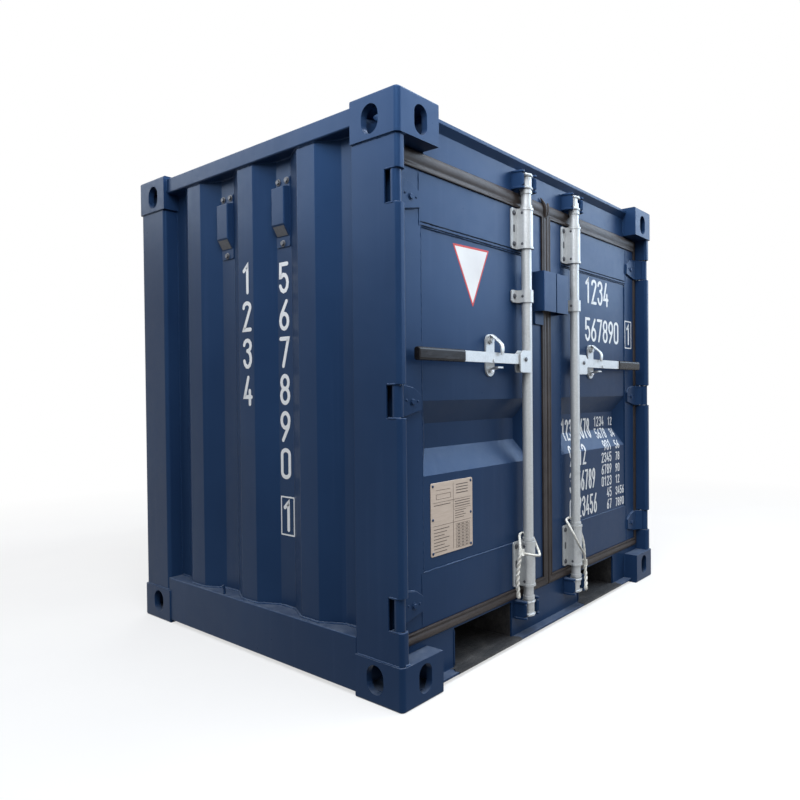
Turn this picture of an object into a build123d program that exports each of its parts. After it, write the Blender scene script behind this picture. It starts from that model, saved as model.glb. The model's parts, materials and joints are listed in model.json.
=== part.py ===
from build123d import *
from math import hypot, pi, radians, tan
import os

# Small steel freight container with two doors, in millimetres
# X runs across the door end, the doors face -Y, Z is up from the ground
WIDTH = 1610.0
LENGTH = 1340.0
HEIGHT = 1615.0
HALF_W = WIDTH / 2
HALF_L = LENGTH / 2

# Corner castings, the standard size for freight containers
CASTING_L = 178.0
CASTING_W = 162.0
CASTING_H = 118.0
CASTING_SIDE_WALL = 20.0
CASTING_INNER_WALL = 12.0
CASTING_FACE_WALL = 28.6
CASTING_EDGE_R = 14.5
SIDE_HOLE_FROM_END = 101.5
END_HOLE_FROM_SIDE = 89.0
HOLE_FROM_FACE = 66.0
SIDE_HOLE_W = 63.5
END_HOLE_W = 50.8
HOLE_H = 79.4
FACE_HOLE_L = 124.5
FACE_HOLE_W = 63.5

# Posts
POST_X = HALF_W - 5.0
POST_FRONT_Y = -HALF_L + 6.0
POST_WALL = 6.0
DOOR_POST_REAR_Y = -HALF_L + CASTING_L
RETURN_W = 33.0
JAMB_X = 715.0
JAMB_FRONT_Y = -555.0
REAR_POST_W = 60.0
REAR_POST_FRONT_Y = 501.0
REAR_POST_REAR_Y = 664.0

# Rails and end frames
RAIL_WALL = 4.0
TOP_RAIL_X = 793.0
TOP_RAIL_W = 50.0
TOP_RAIL_BOTTOM = 1552.0
TOP_RAIL_TOP = 1605.0
REAR_RAIL_Y = 658.0
LOW_RAIL_X = 801.0
LOW_RAIL_BOTTOM = 11.0
LOW_RAIL_TOP = 163.0
LOW_RAIL_FLANGE = 62.0
LOW_RAIL_WALL = 6.0
HEADER_FACE_Y = -611.0
HEADER_BACK_Y = -551.0
HEADER_BOTTOM = 1492.0
HEADER_LIP_Z = 1570.0
HEADER_LIP_OUT = 15.0
HEADER_TOP = 1603.0
SILL_TOP = 138.0
SILL_BOTTOM = 10.0
SILL_WALL = 6.0
SILL_LIP_Y = -645.0

# Fork pockets
POCKET_IN_X = 227.0
POCKET_OUT_X = 525.0
POCKET_BOTTOM = 17.0
POCKET_TOP = 132.0
POCKET_WALL = 5.0
POCKET_FLOOR_L = 260.0

# Crimped walls and roof
SHEET = 2.0
WALL_OUT_X = 785.0
CRIMP_DEPTH = 36.0
CRIMP_PERIOD = 303.0
CRIMP_OUTER_FLAT = 80.0
CRIMP_INNER_FLAT = 72.0
SIDE_CRIMP_CENTRE_Y = 24.0
REAR_WALL_OUT_Y = 641.0
ROOF_CREST_Z = 1602.0
ROOF_SWAGE_DEPTH = 13.0

# Floor
FLOOR_BOTTOM = 138.0
FLOOR_TOP = 166.0
FLOOR_X = 733.0
FLOOR_FRONT_Y = -549.0
FLOOR_REAR_Y = 594.0

# Doors
DOOR_FACE_Y = -611.0
DOOR_DEPTH = 50.0
DOOR_WALL = 4.0
DOOR_OUT_X = 740.0
DOOR_IN_X = 28.0
DOOR_BOTTOM = 172.0
DOOR_TOP = 1443.0
STILE_OUT_W = 85.0
STILE_IN_W = 76.0
RAIL_H = 153.0
PANEL_BACK = 3.0
PANEL_SHEET = 2.5
RECESS_BOTTOM = 594.0
RECESS_TOP = 806.0
RECESS_FLOOR_BOTTOM = 668.0
RECESS_FLOOR_TOP = 740.0
RECESS_DEPTH = 36.0
RECESS_END_RUN = 50.0
GASKET_GAP = 5.0
GASKET_SEAM = 4.0
GASKET_PROUD = 3.0
GASKET_DEPTH = 34.0

# Hinges
HINGE_X = 784.0
HINGE_Y = -643.0
HINGE_Z = (250.0, 807.0, 1364.0)
PIN_R = 8.0
BARREL_BORE_R = 8.1
BARREL_R = 15.0
BARREL_H = 84.0
NOTCH_H = 88.0
NOTCH_REAR_Y = -616.0
LUG_T = 8.0
STRAP_T = 8.0
STRAP_END_X = 665.0

# Lock bars
BAR_X = 163.0
BAR_Y = -639.0
BAR_R = 17.0
CAM_TOP_Z = 1526.0
CAM_BOTTOM_Z = 104.0
CAM_FLANGE_R = 20.0
CAM_CORE_R = 13.0
CAM_HALF_H = 25.0
CAM_FLANGE_T = 6.0
COLLAR_R = 20.0
KEEPER_HALF_W = 48.0
KEEPER_GAP = 28.0
KEEPER_H = 58.0
BRACKET_HALF_W = 54.0
BRACKET_R = 22.5
BRACKET_BORE_R = 17.08
BRACKET_PLATE_T = 5.0
BRACKET_SPANS = ((179.0, 329.0), (1125.0, 1166.0), (1303.0, 1437.0))
RING_R = 24.5
RING_H = 7.0

# Handles
HUB_OUT_X = 228.0
HUB_BOTTOM = 892.0
HUB_TOP = 964.0
PIVOT_X = 199.0
PIVOT_Z = 935.0
HANDLE_Y = -645.0
HANDLE_T = 12.0
HANDLE_H = 32.0
HANDLE_END_X = 713.0
GRIP_START_X = 515.0
GRIP_H = 37.0
GRIP_T = 22.0
CHEEK_T = 5.0
CHEEK_GAP = 1.0
PIVOT_R = 6.0

# Handle retainers with their swinging catches
RETAINER_X = 337.0
RETAINER_W = 44.0
RETAINER_T = 6.0
RETAINER_BOTTOM = 878.0
RETAINER_TOP = 1011.0
CATCH_PIVOT_Z = 992.0
CATCH_W = 22.0
CATCH_T = 5.0
CATCH_GAP = 6.0
CATCH_END_Z = 957.0

# Lock box
BOX_HALF_W = 83.0
BOX_SEAM = 3.5
BOX_FRONT_Y = -658.0
BOX_BOTTOM = 1106.0
BOX_TOP = 1243.0
BOX_WALL = 5.0

# Vent covers
VENT_W = 62.0
VENT_DEPTH = 24.0
VENT_TOP = 1461.0
VENT_FRONT_BOTTOM = 1348.0
VENT_TIP = 1308.0
VENT_FLANGE_W = 66.0
VENT_FLANGE_TOP = 1497.0
VENT_FLANGE_BOTTOM = 1282.0
VENT_FLANGE_T = 3.0

# Door tie ropes
ROPE_D = 9.0


# Profiles and prisms

def prism_z(points, z0, z1):
    """Solid between two heights over an outline in X and Y."""
    plane = Plane(origin=(0, 0, z0))
    return extrude(plane * make_face(Polyline(*points, close=True)), amount=z1 - z0)


def prism_x(points, x0, x1):
    """Solid between two X places over an outline in Y and Z."""
    plane = Plane(origin=(x0, 0, 0), x_dir=(0, 1, 0), z_dir=(1, 0, 0))
    return extrude(plane * make_face(Polyline(*points, close=True)), amount=x1 - x0)


def prism_y(points, y0, y1):
    """Solid between two Y places over an outline in X and Z."""
    plane = Plane(origin=(0, y1, 0), x_dir=(1, 0, 0), z_dir=(0, -1, 0))
    return extrude(plane * make_face(Polyline(*points, close=True)), amount=y1 - y0)


def rectangle(u0, u1, v0, v1):
    return [(u0, v0), (u1, v0), (u1, v1), (u0, v1)]


def block(x0, x1, y0, y1, z0, z1):
    return prism_z(rectangle(x0, x1, y0, y1), z0, z1)


def cylinder_z(x, y, radius, z0, z1):
    return extrude(Plane(origin=(x, y, z0)) * Circle(radius), amount=z1 - z0)


def cylinder_y(x, z, radius, y0, y1):
    plane = Plane(origin=(x, y1, z), x_dir=(1, 0, 0), z_dir=(0, -1, 0))
    return extrude(plane * Circle(radius), amount=y1 - y0)


def offset_line(points, distance):
    """The open line moved sideways to its left, with mitred corners."""
    moved = []
    last = len(points) - 1
    for i, (u, v) in enumerate(points):
        before = points[max(i - 1, 0)]
        after = points[min(i + 1, last)]
        first = (u - before[0], v - before[1]) if i else (after[0] - u, after[1] - v)
        second = (after[0] - u, after[1] - v) if i < last else first
        n1 = (-first[1] / hypot(*first), first[0] / hypot(*first))
        n2 = (-second[1] / hypot(*second), second[0] / hypot(*second))
        scale = distance / (1 + n1[0] * n2[0] + n1[1] * n2[1])
        moved.append((u + (n1[0] + n2[0]) * scale, v + (n1[1] + n2[1]) * scale))
    return moved


def folded_sheet(points, thickness):
    """Outline of a sheet folded along an open line, thickness to the left."""
    return points + offset_line(points, thickness)[::-1]


def mirrored(shape):
    """The same piece on the other side of the container."""
    return mirror(shape, about=Plane.YZ)


def both_sides(shape):
    return Compound(children=[*solids_of(shape), *solids_of(mirrored(shape))])


def solids_of(shape):
    return list(shape.solids())


def save(name, *shapes):
    """One file for each named piece, holding its separate solids."""
    solids = [solid for shape in shapes for solid in solids_of(shape)]
    whole = solids[0] if len(solids) == 1 else Compound(children=solids)
    export_step(whole, f"parts/{name}.step")


# Corner castings

def casting(top, front):
    """Left casting, a hollow box with a slotted hole in each outer face."""
    x0 = -HALF_W
    x1 = x0 + CASTING_W
    y0 = -HALF_L if front else HALF_L - CASTING_L
    y1 = y0 + CASTING_L
    z0 = HEIGHT - CASTING_H if top else 0.0
    z1 = z0 + CASTING_H
    body = block(x0, x1, y0, y1, z0, z1)
    outer_y = y0 if front else y1
    outer_z = z1 if top else z0
    corner_edges = body.edges().filter_by(Axis.Z).filter_by(
        lambda e: abs(e.center().X - x0) < 1 and abs(e.center().Y - outer_y) < 1)
    body = fillet(corner_edges, CASTING_EDGE_R)
    rim = body.edges().filter_by(lambda e: abs(e.center().Z - outer_z) < 0.1)
    outer_rim = rim.filter_by(
        lambda e: e.center().X < x1 - 1 and abs(e.center().Y - (y1 if front else y0)) > 1)
    body = fillet(outer_rim, CASTING_EDGE_R / 2)
    toward = 1 if front else -1
    hollow_y = sorted((outer_y + toward * CASTING_SIDE_WALL,
                       outer_y + toward * (CASTING_L - CASTING_INNER_WALL)))
    up = 1 if top else -1
    hollow_z = sorted((outer_z - up * CASTING_FACE_WALL,
                       outer_z - up * (CASTING_H - CASTING_INNER_WALL)))
    body -= block(x0 + CASTING_SIDE_WALL, x1 - CASTING_INNER_WALL, *hollow_y, *hollow_z)
    hole_z = outer_z - up * HOLE_FROM_FACE
    side_y = outer_y + toward * SIDE_HOLE_FROM_END
    end_x = x0 + END_HOLE_FROM_SIDE
    side_plane = Plane(origin=(x0 - 1, side_y, hole_z), x_dir=(0, 1, 0), z_dir=(1, 0, 0))
    body -= extrude(side_plane * SlotOverall(HOLE_H, SIDE_HOLE_W, rotation=90),
                    amount=CASTING_SIDE_WALL + 2)
    end_plane = Plane(origin=(end_x, outer_y - toward, hole_z), x_dir=(1, 0, 0), z_dir=(0, toward, 0))
    body -= extrude(end_plane * SlotOverall(HOLE_H, END_HOLE_W, rotation=90),
                    amount=CASTING_SIDE_WALL + 2)
    face_plane = Plane(origin=(end_x, side_y, outer_z + up), z_dir=(0, 0, -up))
    body -= extrude(face_plane * SlotOverall(FACE_HOLE_L, FACE_HOLE_W, rotation=90),
                    amount=CASTING_FACE_WALL + 2)
    return body


# Posts

def door_post():
    """Left door post, a hollow return outside and a jamb behind the door."""
    outline = [(-POST_X, POST_FRONT_Y), (-POST_X + RETURN_W, POST_FRONT_Y),
               (-POST_X + RETURN_W, JAMB_FRONT_Y), (-JAMB_X, JAMB_FRONT_Y),
               (-JAMB_X, DOOR_POST_REAR_Y), (-POST_X, DOOR_POST_REAR_Y)]
    z0 = CASTING_H
    z1 = HEIGHT - CASTING_H
    face = make_face(Polyline(*outline, close=True))
    face = fillet(face.vertices().filter_by(lambda v: v.Y < POST_FRONT_Y + 1), CASTING_EDGE_R - 2)
    inner = offset(face, amount=-POST_WALL, kind=Kind.INTERSECTION)
    post = extrude(Plane(origin=(0, 0, z0)) * (face - inner), amount=z1 - z0)
    for z in HINGE_Z:
        post -= block(-POST_X - 1, -POST_X + RETURN_W + 1, POST_FRONT_Y - 1, NOTCH_REAR_Y,
                      z - NOTCH_H / 2, z + NOTCH_H / 2)
        for low in (z - NOTCH_H / 2 - LUG_T, z + NOTCH_H / 2):
            lug = extrude(Plane(origin=(0, 0, low)) * face, amount=LUG_T)
            lug &= block(-POST_X - 1, -POST_X + RETURN_W + 1, POST_FRONT_Y - 1, NOTCH_REAR_Y,
                         low, low + LUG_T)
            lug -= cylinder_z(-HINGE_X, HINGE_Y, PIN_R, low - 1, low + LUG_T + 1)
            post += lug
    return post


def hinge_pins():
    half = NOTCH_H / 2 + LUG_T
    return [cylinder_z(-HINGE_X, HINGE_Y, PIN_R, z - half, z + half) for z in HINGE_Z]


def rear_post():
    outline = rectangle(-POST_X, -POST_X + REAR_POST_W, REAR_POST_FRONT_Y, REAR_POST_REAR_Y)
    face = make_face(Polyline(*outline, close=True))
    face = fillet(face.vertices().filter_by(lambda v: v.X < -POST_X + 1), CASTING_EDGE_R - 2)
    inner = offset(face, amount=-POST_WALL, kind=Kind.INTERSECTION)
    return extrude(Plane(origin=(0, 0, CASTING_H)) * (face - inner),
                   amount=HEIGHT - 2 * CASTING_H)


# Rails and end frames

def top_side_rail():
    outer = rectangle(-TOP_RAIL_X, -TOP_RAIL_X + TOP_RAIL_W, TOP_RAIL_BOTTOM, TOP_RAIL_TOP)
    tube = prism_y(outer, -HALF_L + CASTING_L, HALF_L - CASTING_L)
    tube = fillet(tube.edges().filter_by(Axis.Y), 5)
    bore = rectangle(-TOP_RAIL_X + RAIL_WALL, -TOP_RAIL_X + TOP_RAIL_W - RAIL_WALL,
                     TOP_RAIL_BOTTOM + RAIL_WALL, TOP_RAIL_TOP - RAIL_WALL)
    return tube - prism_y(bore, -HALF_L, HALF_L)


def rear_top_rail():
    x = HALF_W - CASTING_W
    outer = rectangle(REAR_RAIL_Y - TOP_RAIL_W, REAR_RAIL_Y, TOP_RAIL_BOTTOM, TOP_RAIL_TOP)
    tube = prism_x(outer, -x, x)
    tube = fillet(tube.edges().filter_by(Axis.X), 5)
    bore = rectangle(REAR_RAIL_Y - TOP_RAIL_W + RAIL_WALL, REAR_RAIL_Y - RAIL_WALL,
                     TOP_RAIL_BOTTOM + RAIL_WALL, TOP_RAIL_TOP - RAIL_WALL)
    return tube - prism_x(bore, -HALF_W, HALF_W)


def low_rail_line(outer, inward):
    """Line of the folded bottom rail: lower flange, web and upper ledge."""
    back = outer + inward * LOW_RAIL_FLANGE
    return [(back, LOW_RAIL_BOTTOM), (outer, LOW_RAIL_BOTTOM), (outer, LOW_RAIL_TOP), (back, LOW_RAIL_TOP)]


def bottom_side_rail():
    outline = folded_sheet(low_rail_line(-LOW_RAIL_X, 1), -LOW_RAIL_WALL)
    rail = prism_y(outline, -HALF_L + CASTING_L, HALF_L - CASTING_L)
    return fillet(rail.edges().filter_by(Axis.Y).filter_by(lambda e: e.center().X < -LOW_RAIL_X + 1), 4)


def rear_bottom_rail():
    x = HALF_W - CASTING_W
    outline = folded_sheet(low_rail_line(REAR_RAIL_Y, -1), LOW_RAIL_WALL)
    rail = prism_x(outline, -x, x)
    for side in (-1, 1):
        span = sorted((side * POCKET_IN_X, side * POCKET_OUT_X))
        rail -= block(*span, REAR_RAIL_Y - LOW_RAIL_WALL - 1, REAR_RAIL_Y + 1, POCKET_BOTTOM, POCKET_TOP)
    return rail


def door_header():
    """Folded box over the doors, with an overhanging upper lip."""
    outline = [(HEADER_FACE_Y, HEADER_BOTTOM), (HEADER_FACE_Y, HEADER_LIP_Z),
               (HEADER_FACE_Y - HEADER_LIP_OUT, HEADER_LIP_Z + 22),
               (HEADER_FACE_Y - HEADER_LIP_OUT, HEADER_TOP),
               (HEADER_BACK_Y, HEADER_TOP), (HEADER_BACK_Y, HEADER_BOTTOM)]
    face = make_face(Polyline(*outline, close=True))
    section = face - offset(face, amount=-RAIL_WALL, kind=Kind.INTERSECTION)
    x = HALF_W - CASTING_W
    plane = Plane(origin=(-x, 0, 0), x_dir=(0, 1, 0), z_dir=(1, 0, 0))
    return extrude(plane * section, amount=2 * x)


def door_sill():
    """Folded sill with its forward lip, cut for the two fork pockets."""
    line = [(HEADER_BACK_Y, SILL_TOP), (DOOR_FACE_Y, SILL_TOP), (DOOR_FACE_Y, SILL_BOTTOM),
            (HEADER_BACK_Y, SILL_BOTTOM)]
    outline = folded_sheet(line, SILL_WALL)
    x_wide = POST_X - RETURN_W
    x_low = HALF_W - CASTING_W
    sill = prism_x(outline, -x_wide, x_wide)
    sill += block(-x_low, x_low, SILL_LIP_Y, DOOR_FACE_Y + 1, SILL_BOTTOM, SILL_BOTTOM + SILL_WALL + 1)
    for side in (-1, 1):
        outside = sorted((side * x_low, side * HALF_W))
        sill -= block(*outside, -HALF_L - 1, HEADER_BACK_Y + 1, -1, CASTING_H)
        behind = sorted((side * JAMB_X, side * HALF_W))
        sill -= block(*behind, JAMB_FRONT_Y, HEADER_BACK_Y + 1, -1, SILL_TOP + 1)
        span = sorted((side * POCKET_IN_X, side * POCKET_OUT_X))
        sill -= block(*span, DOOR_FACE_Y - 1, DOOR_FACE_Y + SILL_WALL + 1, POCKET_BOTTOM, POCKET_TOP)
    return sill


def fork_pocket():
    """Left fork pocket, a lined channel with a floor plate at each end."""
    y_front = DOOR_FACE_Y + SILL_WALL
    y_rear = REAR_RAIL_Y - LOW_RAIL_WALL
    top = POCKET_TOP + POCKET_WALL
    line = [(-POCKET_OUT_X, POCKET_BOTTOM), (-POCKET_OUT_X, POCKET_TOP), (-POCKET_IN_X, POCKET_TOP),
            (-POCKET_IN_X, POCKET_BOTTOM)]
    channel = prism_y(folded_sheet(line, POCKET_WALL), HEADER_BACK_Y, y_rear - LOW_RAIL_FLANGE)
    liner = prism_y(folded_sheet(line, POCKET_WALL), y_front, y_rear)
    liner -= block(-POCKET_OUT_X - 10, -POCKET_IN_X + 10, y_front, y_rear, POCKET_TOP, top + 1)
    pocket = channel + liner
    for y0, y1 in ((HEADER_BACK_Y, HEADER_BACK_Y + POCKET_FLOOR_L),
                   (y_rear - LOW_RAIL_FLANGE - POCKET_FLOOR_L, y_rear - LOW_RAIL_FLANGE + LOW_RAIL_WALL)):
        pocket += block(-POCKET_OUT_X - POCKET_WALL, -POCKET_IN_X + POCKET_WALL, y0, y1,
                        POCKET_BOTTOM - POCKET_WALL, POCKET_BOTTOM)
    return pocket


def cross_members():
    """Rows of C sections under the floor, broken at the fork pockets."""
    spans = ((-FLOOR_X, -POCKET_OUT_X - POCKET_WALL), (-POCKET_IN_X + POCKET_WALL, POCKET_IN_X - POCKET_WALL),
             (POCKET_OUT_X + POCKET_WALL, FLOOR_X))
    pieces = []
    for row in range(5):
        y = (row - 2) * 200.0
        line = [(y + 45, FLOOR_BOTTOM), (y, FLOOR_BOTTOM), (y, 48.0), (y + 45, 48.0)]
        outline = folded_sheet(line, RAIL_WALL)
        pieces += [prism_x(outline, x0, x1) for x0, x1 in spans]
    return pieces


# Walls, roof and floor

def crimp_line(centre, start, end, outer, inward):
    """Outer line of a crimped wall between two ends, in (along, across)."""
    slope = (CRIMP_PERIOD - CRIMP_OUTER_FLAT - CRIMP_INNER_FLAT) / 2
    inner = outer + inward * CRIMP_DEPTH
    points = [(start, inner)]
    for k in (-1, 0, 1):
        c = centre + k * CRIMP_PERIOD
        half = CRIMP_OUTER_FLAT / 2
        points += [(c - half - slope, inner), (c - half, outer), (c + half, outer),
                   (c + half + slope, inner)]
    points.append((end, inner))
    return points


def around_castings(sheet):
    """A wall or roof sheet, notched where it meets the upper castings."""
    for x0, x1 in ((-HALF_W, -HALF_W + CASTING_W), (HALF_W - CASTING_W, HALF_W)):
        for y0, y1 in ((-HALF_L, -HALF_L + CASTING_L), (HALF_L - CASTING_L, HALF_L)):
            sheet -= block(x0, x1, y0, y1, HEIGHT - CASTING_H, HEIGHT)
    return sheet


def side_wall():
    """Left wall, crimped upright between the posts and the rails."""
    line = crimp_line(SIDE_CRIMP_CENTRE_Y, DOOR_POST_REAR_Y, REAR_POST_FRONT_Y, -WALL_OUT_X, 1)
    outer = [(across, along) for along, across in line]
    return around_castings(prism_z(folded_sheet(outer, -SHEET), LOW_RAIL_TOP, TOP_RAIL_BOTTOM))


def rear_wall():
    x = POST_X - REAR_POST_W
    line = crimp_line(0.0, -x, x, REAR_WALL_OUT_Y, -1)
    return around_castings(prism_z(folded_sheet(line, -SHEET), LOW_RAIL_TOP, TOP_RAIL_BOTTOM))


def roof_panel():
    """Flat sheet with pressed swages across it."""
    y0 = HEADER_BACK_Y
    y1 = REAR_RAIL_Y - TOP_RAIL_W
    count = 5
    pitch = (y1 - y0) / count
    line = [(y0, ROOF_CREST_Z)]
    for k in range(count):
        c = y0 + (k + 0.5) * pitch
        line += [(c - 62, ROOF_CREST_Z), (c - 40, ROOF_CREST_Z - ROOF_SWAGE_DEPTH),
                 (c + 40, ROOF_CREST_Z - ROOF_SWAGE_DEPTH), (c + 62, ROOF_CREST_Z)]
    line.append((y1, ROOF_CREST_Z))
    x = TOP_RAIL_X - TOP_RAIL_W
    return around_castings(prism_x(folded_sheet(line, -SHEET), -x, x))


def floor_boards():
    front_x = JAMB_X - 2
    step_y = DOOR_POST_REAR_Y + 2
    outline = [(-front_x, FLOOR_FRONT_Y), (front_x, FLOOR_FRONT_Y), (front_x, step_y), (FLOOR_X, step_y),
               (FLOOR_X, FLOOR_REAR_Y), (-FLOOR_X, FLOOR_REAR_Y), (-FLOOR_X, step_y), (-front_x, step_y)]
    return prism_z(outline, FLOOR_BOTTOM, FLOOR_TOP)


def vent_cover(y):
    """Pressed cover on the left wall, open below through its tapered end."""
    base = -WALL_OUT_X + CRIMP_DEPTH
    flange = prism_z(rectangle(base - VENT_FLANGE_T, base, y - VENT_FLANGE_W / 2, y + VENT_FLANGE_W / 2),
                     VENT_FLANGE_BOTTOM, VENT_FLANGE_TOP)
    flange = fillet(flange.edges().filter_by(Axis.X), 6)
    front = base - VENT_DEPTH
    outline = [(base, VENT_TOP + 6), (front, VENT_TOP), (front, VENT_FRONT_BOTTOM), (base, VENT_TIP)]
    hood = prism_y(outline, y - VENT_W / 2, y + VENT_W / 2)
    hood = fillet(hood.edges().filter_by(lambda e: e.center().X < front + 1), 4)
    return flange + hood


def tie_back_hook():
    """Small bent hook on the ledge of the left bottom rail."""
    start = (-LOW_RAIL_X + 9, 158.0, LOW_RAIL_TOP)
    path = FilletPolyline(start, (start[0], start[1], start[2] + 14), (start[0] - 5, start[1], start[2] + 30),
                          radius=6)
    return sweep(Plane(origin=start) * Circle(4), path=path)


# Door leaves

def door_frame():
    """Left leaf's frame, a folded channel open to the back."""
    y_back = DOOR_FACE_Y + DOOR_DEPTH
    out = rectangle(-DOOR_OUT_X, -DOOR_IN_X, DOOR_BOTTOM, DOOR_TOP)
    hole = rectangle(-DOOR_OUT_X + STILE_OUT_W, -DOOR_IN_X - STILE_IN_W, DOOR_BOTTOM + RAIL_H,
                     DOOR_TOP - RAIL_H)
    frame = prism_y(out, DOOR_FACE_Y, y_back) - prism_y(hole, DOOR_FACE_Y - 1, y_back + 1)
    w = DOOR_WALL
    pocket = prism_y(rectangle(-DOOR_OUT_X + w, -DOOR_IN_X - w, DOOR_BOTTOM + w, DOOR_TOP - w),
                     DOOR_FACE_Y + w, y_back + 1)
    pocket -= prism_y(rectangle(-DOOR_OUT_X + STILE_OUT_W - w, -DOOR_IN_X - STILE_IN_W + w,
                                DOOR_BOTTOM + RAIL_H - w, DOOR_TOP - RAIL_H + w),
                      DOOR_FACE_Y, y_back + 2)
    return frame - pocket


def door_panel():
    """Left leaf's pressed sheet with one shallow trough across it."""
    x0 = -DOOR_OUT_X + STILE_OUT_W
    x1 = -DOOR_IN_X - STILE_IN_W
    z0 = DOOR_BOTTOM + RAIL_H
    z1 = DOOR_TOP - RAIL_H
    y = DOOR_FACE_Y + PANEL_BACK
    sheet = block(x0, x1, y, y + PANEL_SHEET, z0, z1)

    def trough(grow):
        mouth = Plane(origin=(0, y, 0), x_dir=(1, 0, 0), z_dir=(0, -1, 0))
        bottom = Plane(origin=(0, y + RECESS_DEPTH, 0), x_dir=(1, 0, 0), z_dir=(0, -1, 0))
        wide = rectangle(x0 + 0.5, x1 - 0.5, RECESS_BOTTOM, RECESS_TOP)
        deep = rectangle(x0 + RECESS_END_RUN, x1 - RECESS_END_RUN, RECESS_FLOOR_BOTTOM, RECESS_FLOOR_TOP)
        solid = loft([mouth * make_face(Polyline(*wide, close=True)),
                      bottom * make_face(Polyline(*deep, close=True))])
        return Pos(0, grow, 0) * solid

    return (sheet + trough(PANEL_SHEET)) - trough(0)


def door_hinges():
    """Three barrels of the left leaf, each with its strap."""
    pieces = []
    for z in HINGE_Z:
        barrel = cylinder_z(-HINGE_X, HINGE_Y, BARREL_R, z - BARREL_H / 2, z + BARREL_H / 2)
        face = DOOR_FACE_Y
        outer = face - STRAP_T
        plan = [(-STRAP_END_X, face), (-STRAP_END_X, outer), (-745, outer), (-770, -640), (-781, -633),
                (-750, face)]
        strap = prism_z(plan, z - BARREL_H / 2, z + BARREL_H / 2)
        side = [(-HINGE_X, z - BARREL_H / 2), (-735, z - BARREL_H / 2), (-STRAP_END_X, z - 26),
                (-STRAP_END_X, z + 14), (-695, z + 34), (-735, z + BARREL_H / 2),
                (-HINGE_X, z + BARREL_H / 2)]
        strap &= prism_y(side, HINGE_Y - 30, face + 1)
        hinge = barrel + strap
        hinge -= cylinder_z(-HINGE_X, HINGE_Y, BARREL_BORE_R, z - BARREL_H, z + BARREL_H)
        pieces.append(hinge)
    return pieces


def door_gasket():
    """Rubber seal round the left leaf, notched behind the hinge straps."""
    y0 = DOOR_FACE_Y - GASKET_PROUD
    y1 = y0 + GASKET_DEPTH
    outer = rectangle(-POST_X + RETURN_W + GASKET_GAP, -GASKET_SEAM, SILL_TOP + GASKET_GAP,
                      HEADER_BOTTOM - GASKET_GAP)
    inner = rectangle(-DOOR_OUT_X, -DOOR_IN_X, DOOR_BOTTOM, DOOR_TOP)
    seal = prism_y(outer, y0, y1) - prism_y(inner, y0 - 1, y1 + 1)
    for z in HINGE_Z:
        seal -= block(-HINGE_X, -DOOR_OUT_X + 1, y0 - 1, DOOR_FACE_Y + 4, z - NOTCH_H / 2, z + NOTCH_H / 2)
    return seal


# Lock bars

def bar_bracket(z0, z1):
    """Bearing of the left bar: a back plate under a pressed half shell."""
    plate_y = DOOR_FACE_Y - BRACKET_PLATE_T
    plate = block(-BAR_X - BRACKET_HALF_W, -BAR_X + BRACKET_HALF_W, plate_y, DOOR_FACE_Y, z0, z1)
    plate = fillet(plate.edges().filter_by(Axis.Y), 8)
    shell = block(-BAR_X - BRACKET_R, -BAR_X + BRACKET_R, BAR_Y, plate_y, z0, z1)
    shell += cylinder_z(-BAR_X, BAR_Y, BRACKET_R, z0, z1)
    if z1 - z0 > 100:
        for low in (z0, z1 - RING_H):
            shell += cylinder_z(-BAR_X, BAR_Y, RING_R, low, low + RING_H)
    shell -= cylinder_z(-BAR_X, BAR_Y, BRACKET_BORE_R, z0 - 1, z1 + 1)
    return plate + shell


def cam(z, up):
    """Cam end of a lock bar: a necked spool with a nose between flanges."""
    low = z - CAM_HALF_H
    t = CAM_FLANGE_T
    height = 2 * CAM_HALF_H
    profile = [(0, 0), (CAM_FLANGE_R, 0), (CAM_FLANGE_R, t), (CAM_CORE_R, t + 4),
               (CAM_CORE_R, height - t - 4), (CAM_FLANGE_R, height - t), (CAM_FLANGE_R, height), (0, height)]
    plane = Plane(origin=(-BAR_X, BAR_Y, low), x_dir=(1, 0, 0), z_dir=(0, -1, 0))
    bar_line = Axis((-BAR_X, BAR_Y, 0), (0, 0, 1))
    spool = revolve(plane * make_face(Polyline(*profile, close=True)), axis=bar_line)
    nose = extrude(Plane(origin=(-BAR_X + 6, BAR_Y - 4, low + t)) * Ellipse(15, 11), amount=height - 2 * t)
    collar_z = low - 16 if up else low + height + 6
    collar = cylinder_z(-BAR_X, BAR_Y, COLLAR_R, collar_z, collar_z + 10)
    return spool + nose + collar


def lock_bar():
    """Left bar with its cams and the clevis that holds the handle."""
    bar = cylinder_z(-BAR_X, BAR_Y, BAR_R, CAM_BOTTOM_Z, CAM_TOP_Z)
    bar += cam(CAM_TOP_Z, True) + cam(CAM_BOTTOM_Z, False)
    for low in (BRACKET_SPANS[0][1] + 2, BRACKET_SPANS[2][1] + 2):
        bar += cylinder_z(-BAR_X, BAR_Y, COLLAR_R, low, low + 9)
    half = HANDLE_T / 2 + CHEEK_GAP
    outline = [(-HUB_OUT_X, HUB_BOTTOM + 4), (-HUB_OUT_X + 4, HUB_BOTTOM), (-BAR_X, HUB_BOTTOM),
               (-BAR_X, HUB_TOP), (-HUB_OUT_X + 14, HUB_TOP), (-HUB_OUT_X, HUB_TOP - 14)]
    for y0 in (HANDLE_Y - half - CHEEK_T, HANDLE_Y + half):
        bar += prism_y(outline, y0, y0 + CHEEK_T)
    bar += cylinder_y(-PIVOT_X, PIVOT_Z, PIVOT_R, HANDLE_Y - half - CHEEK_T - 3, HANDLE_Y + half + CHEEK_T)
    return bar


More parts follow.
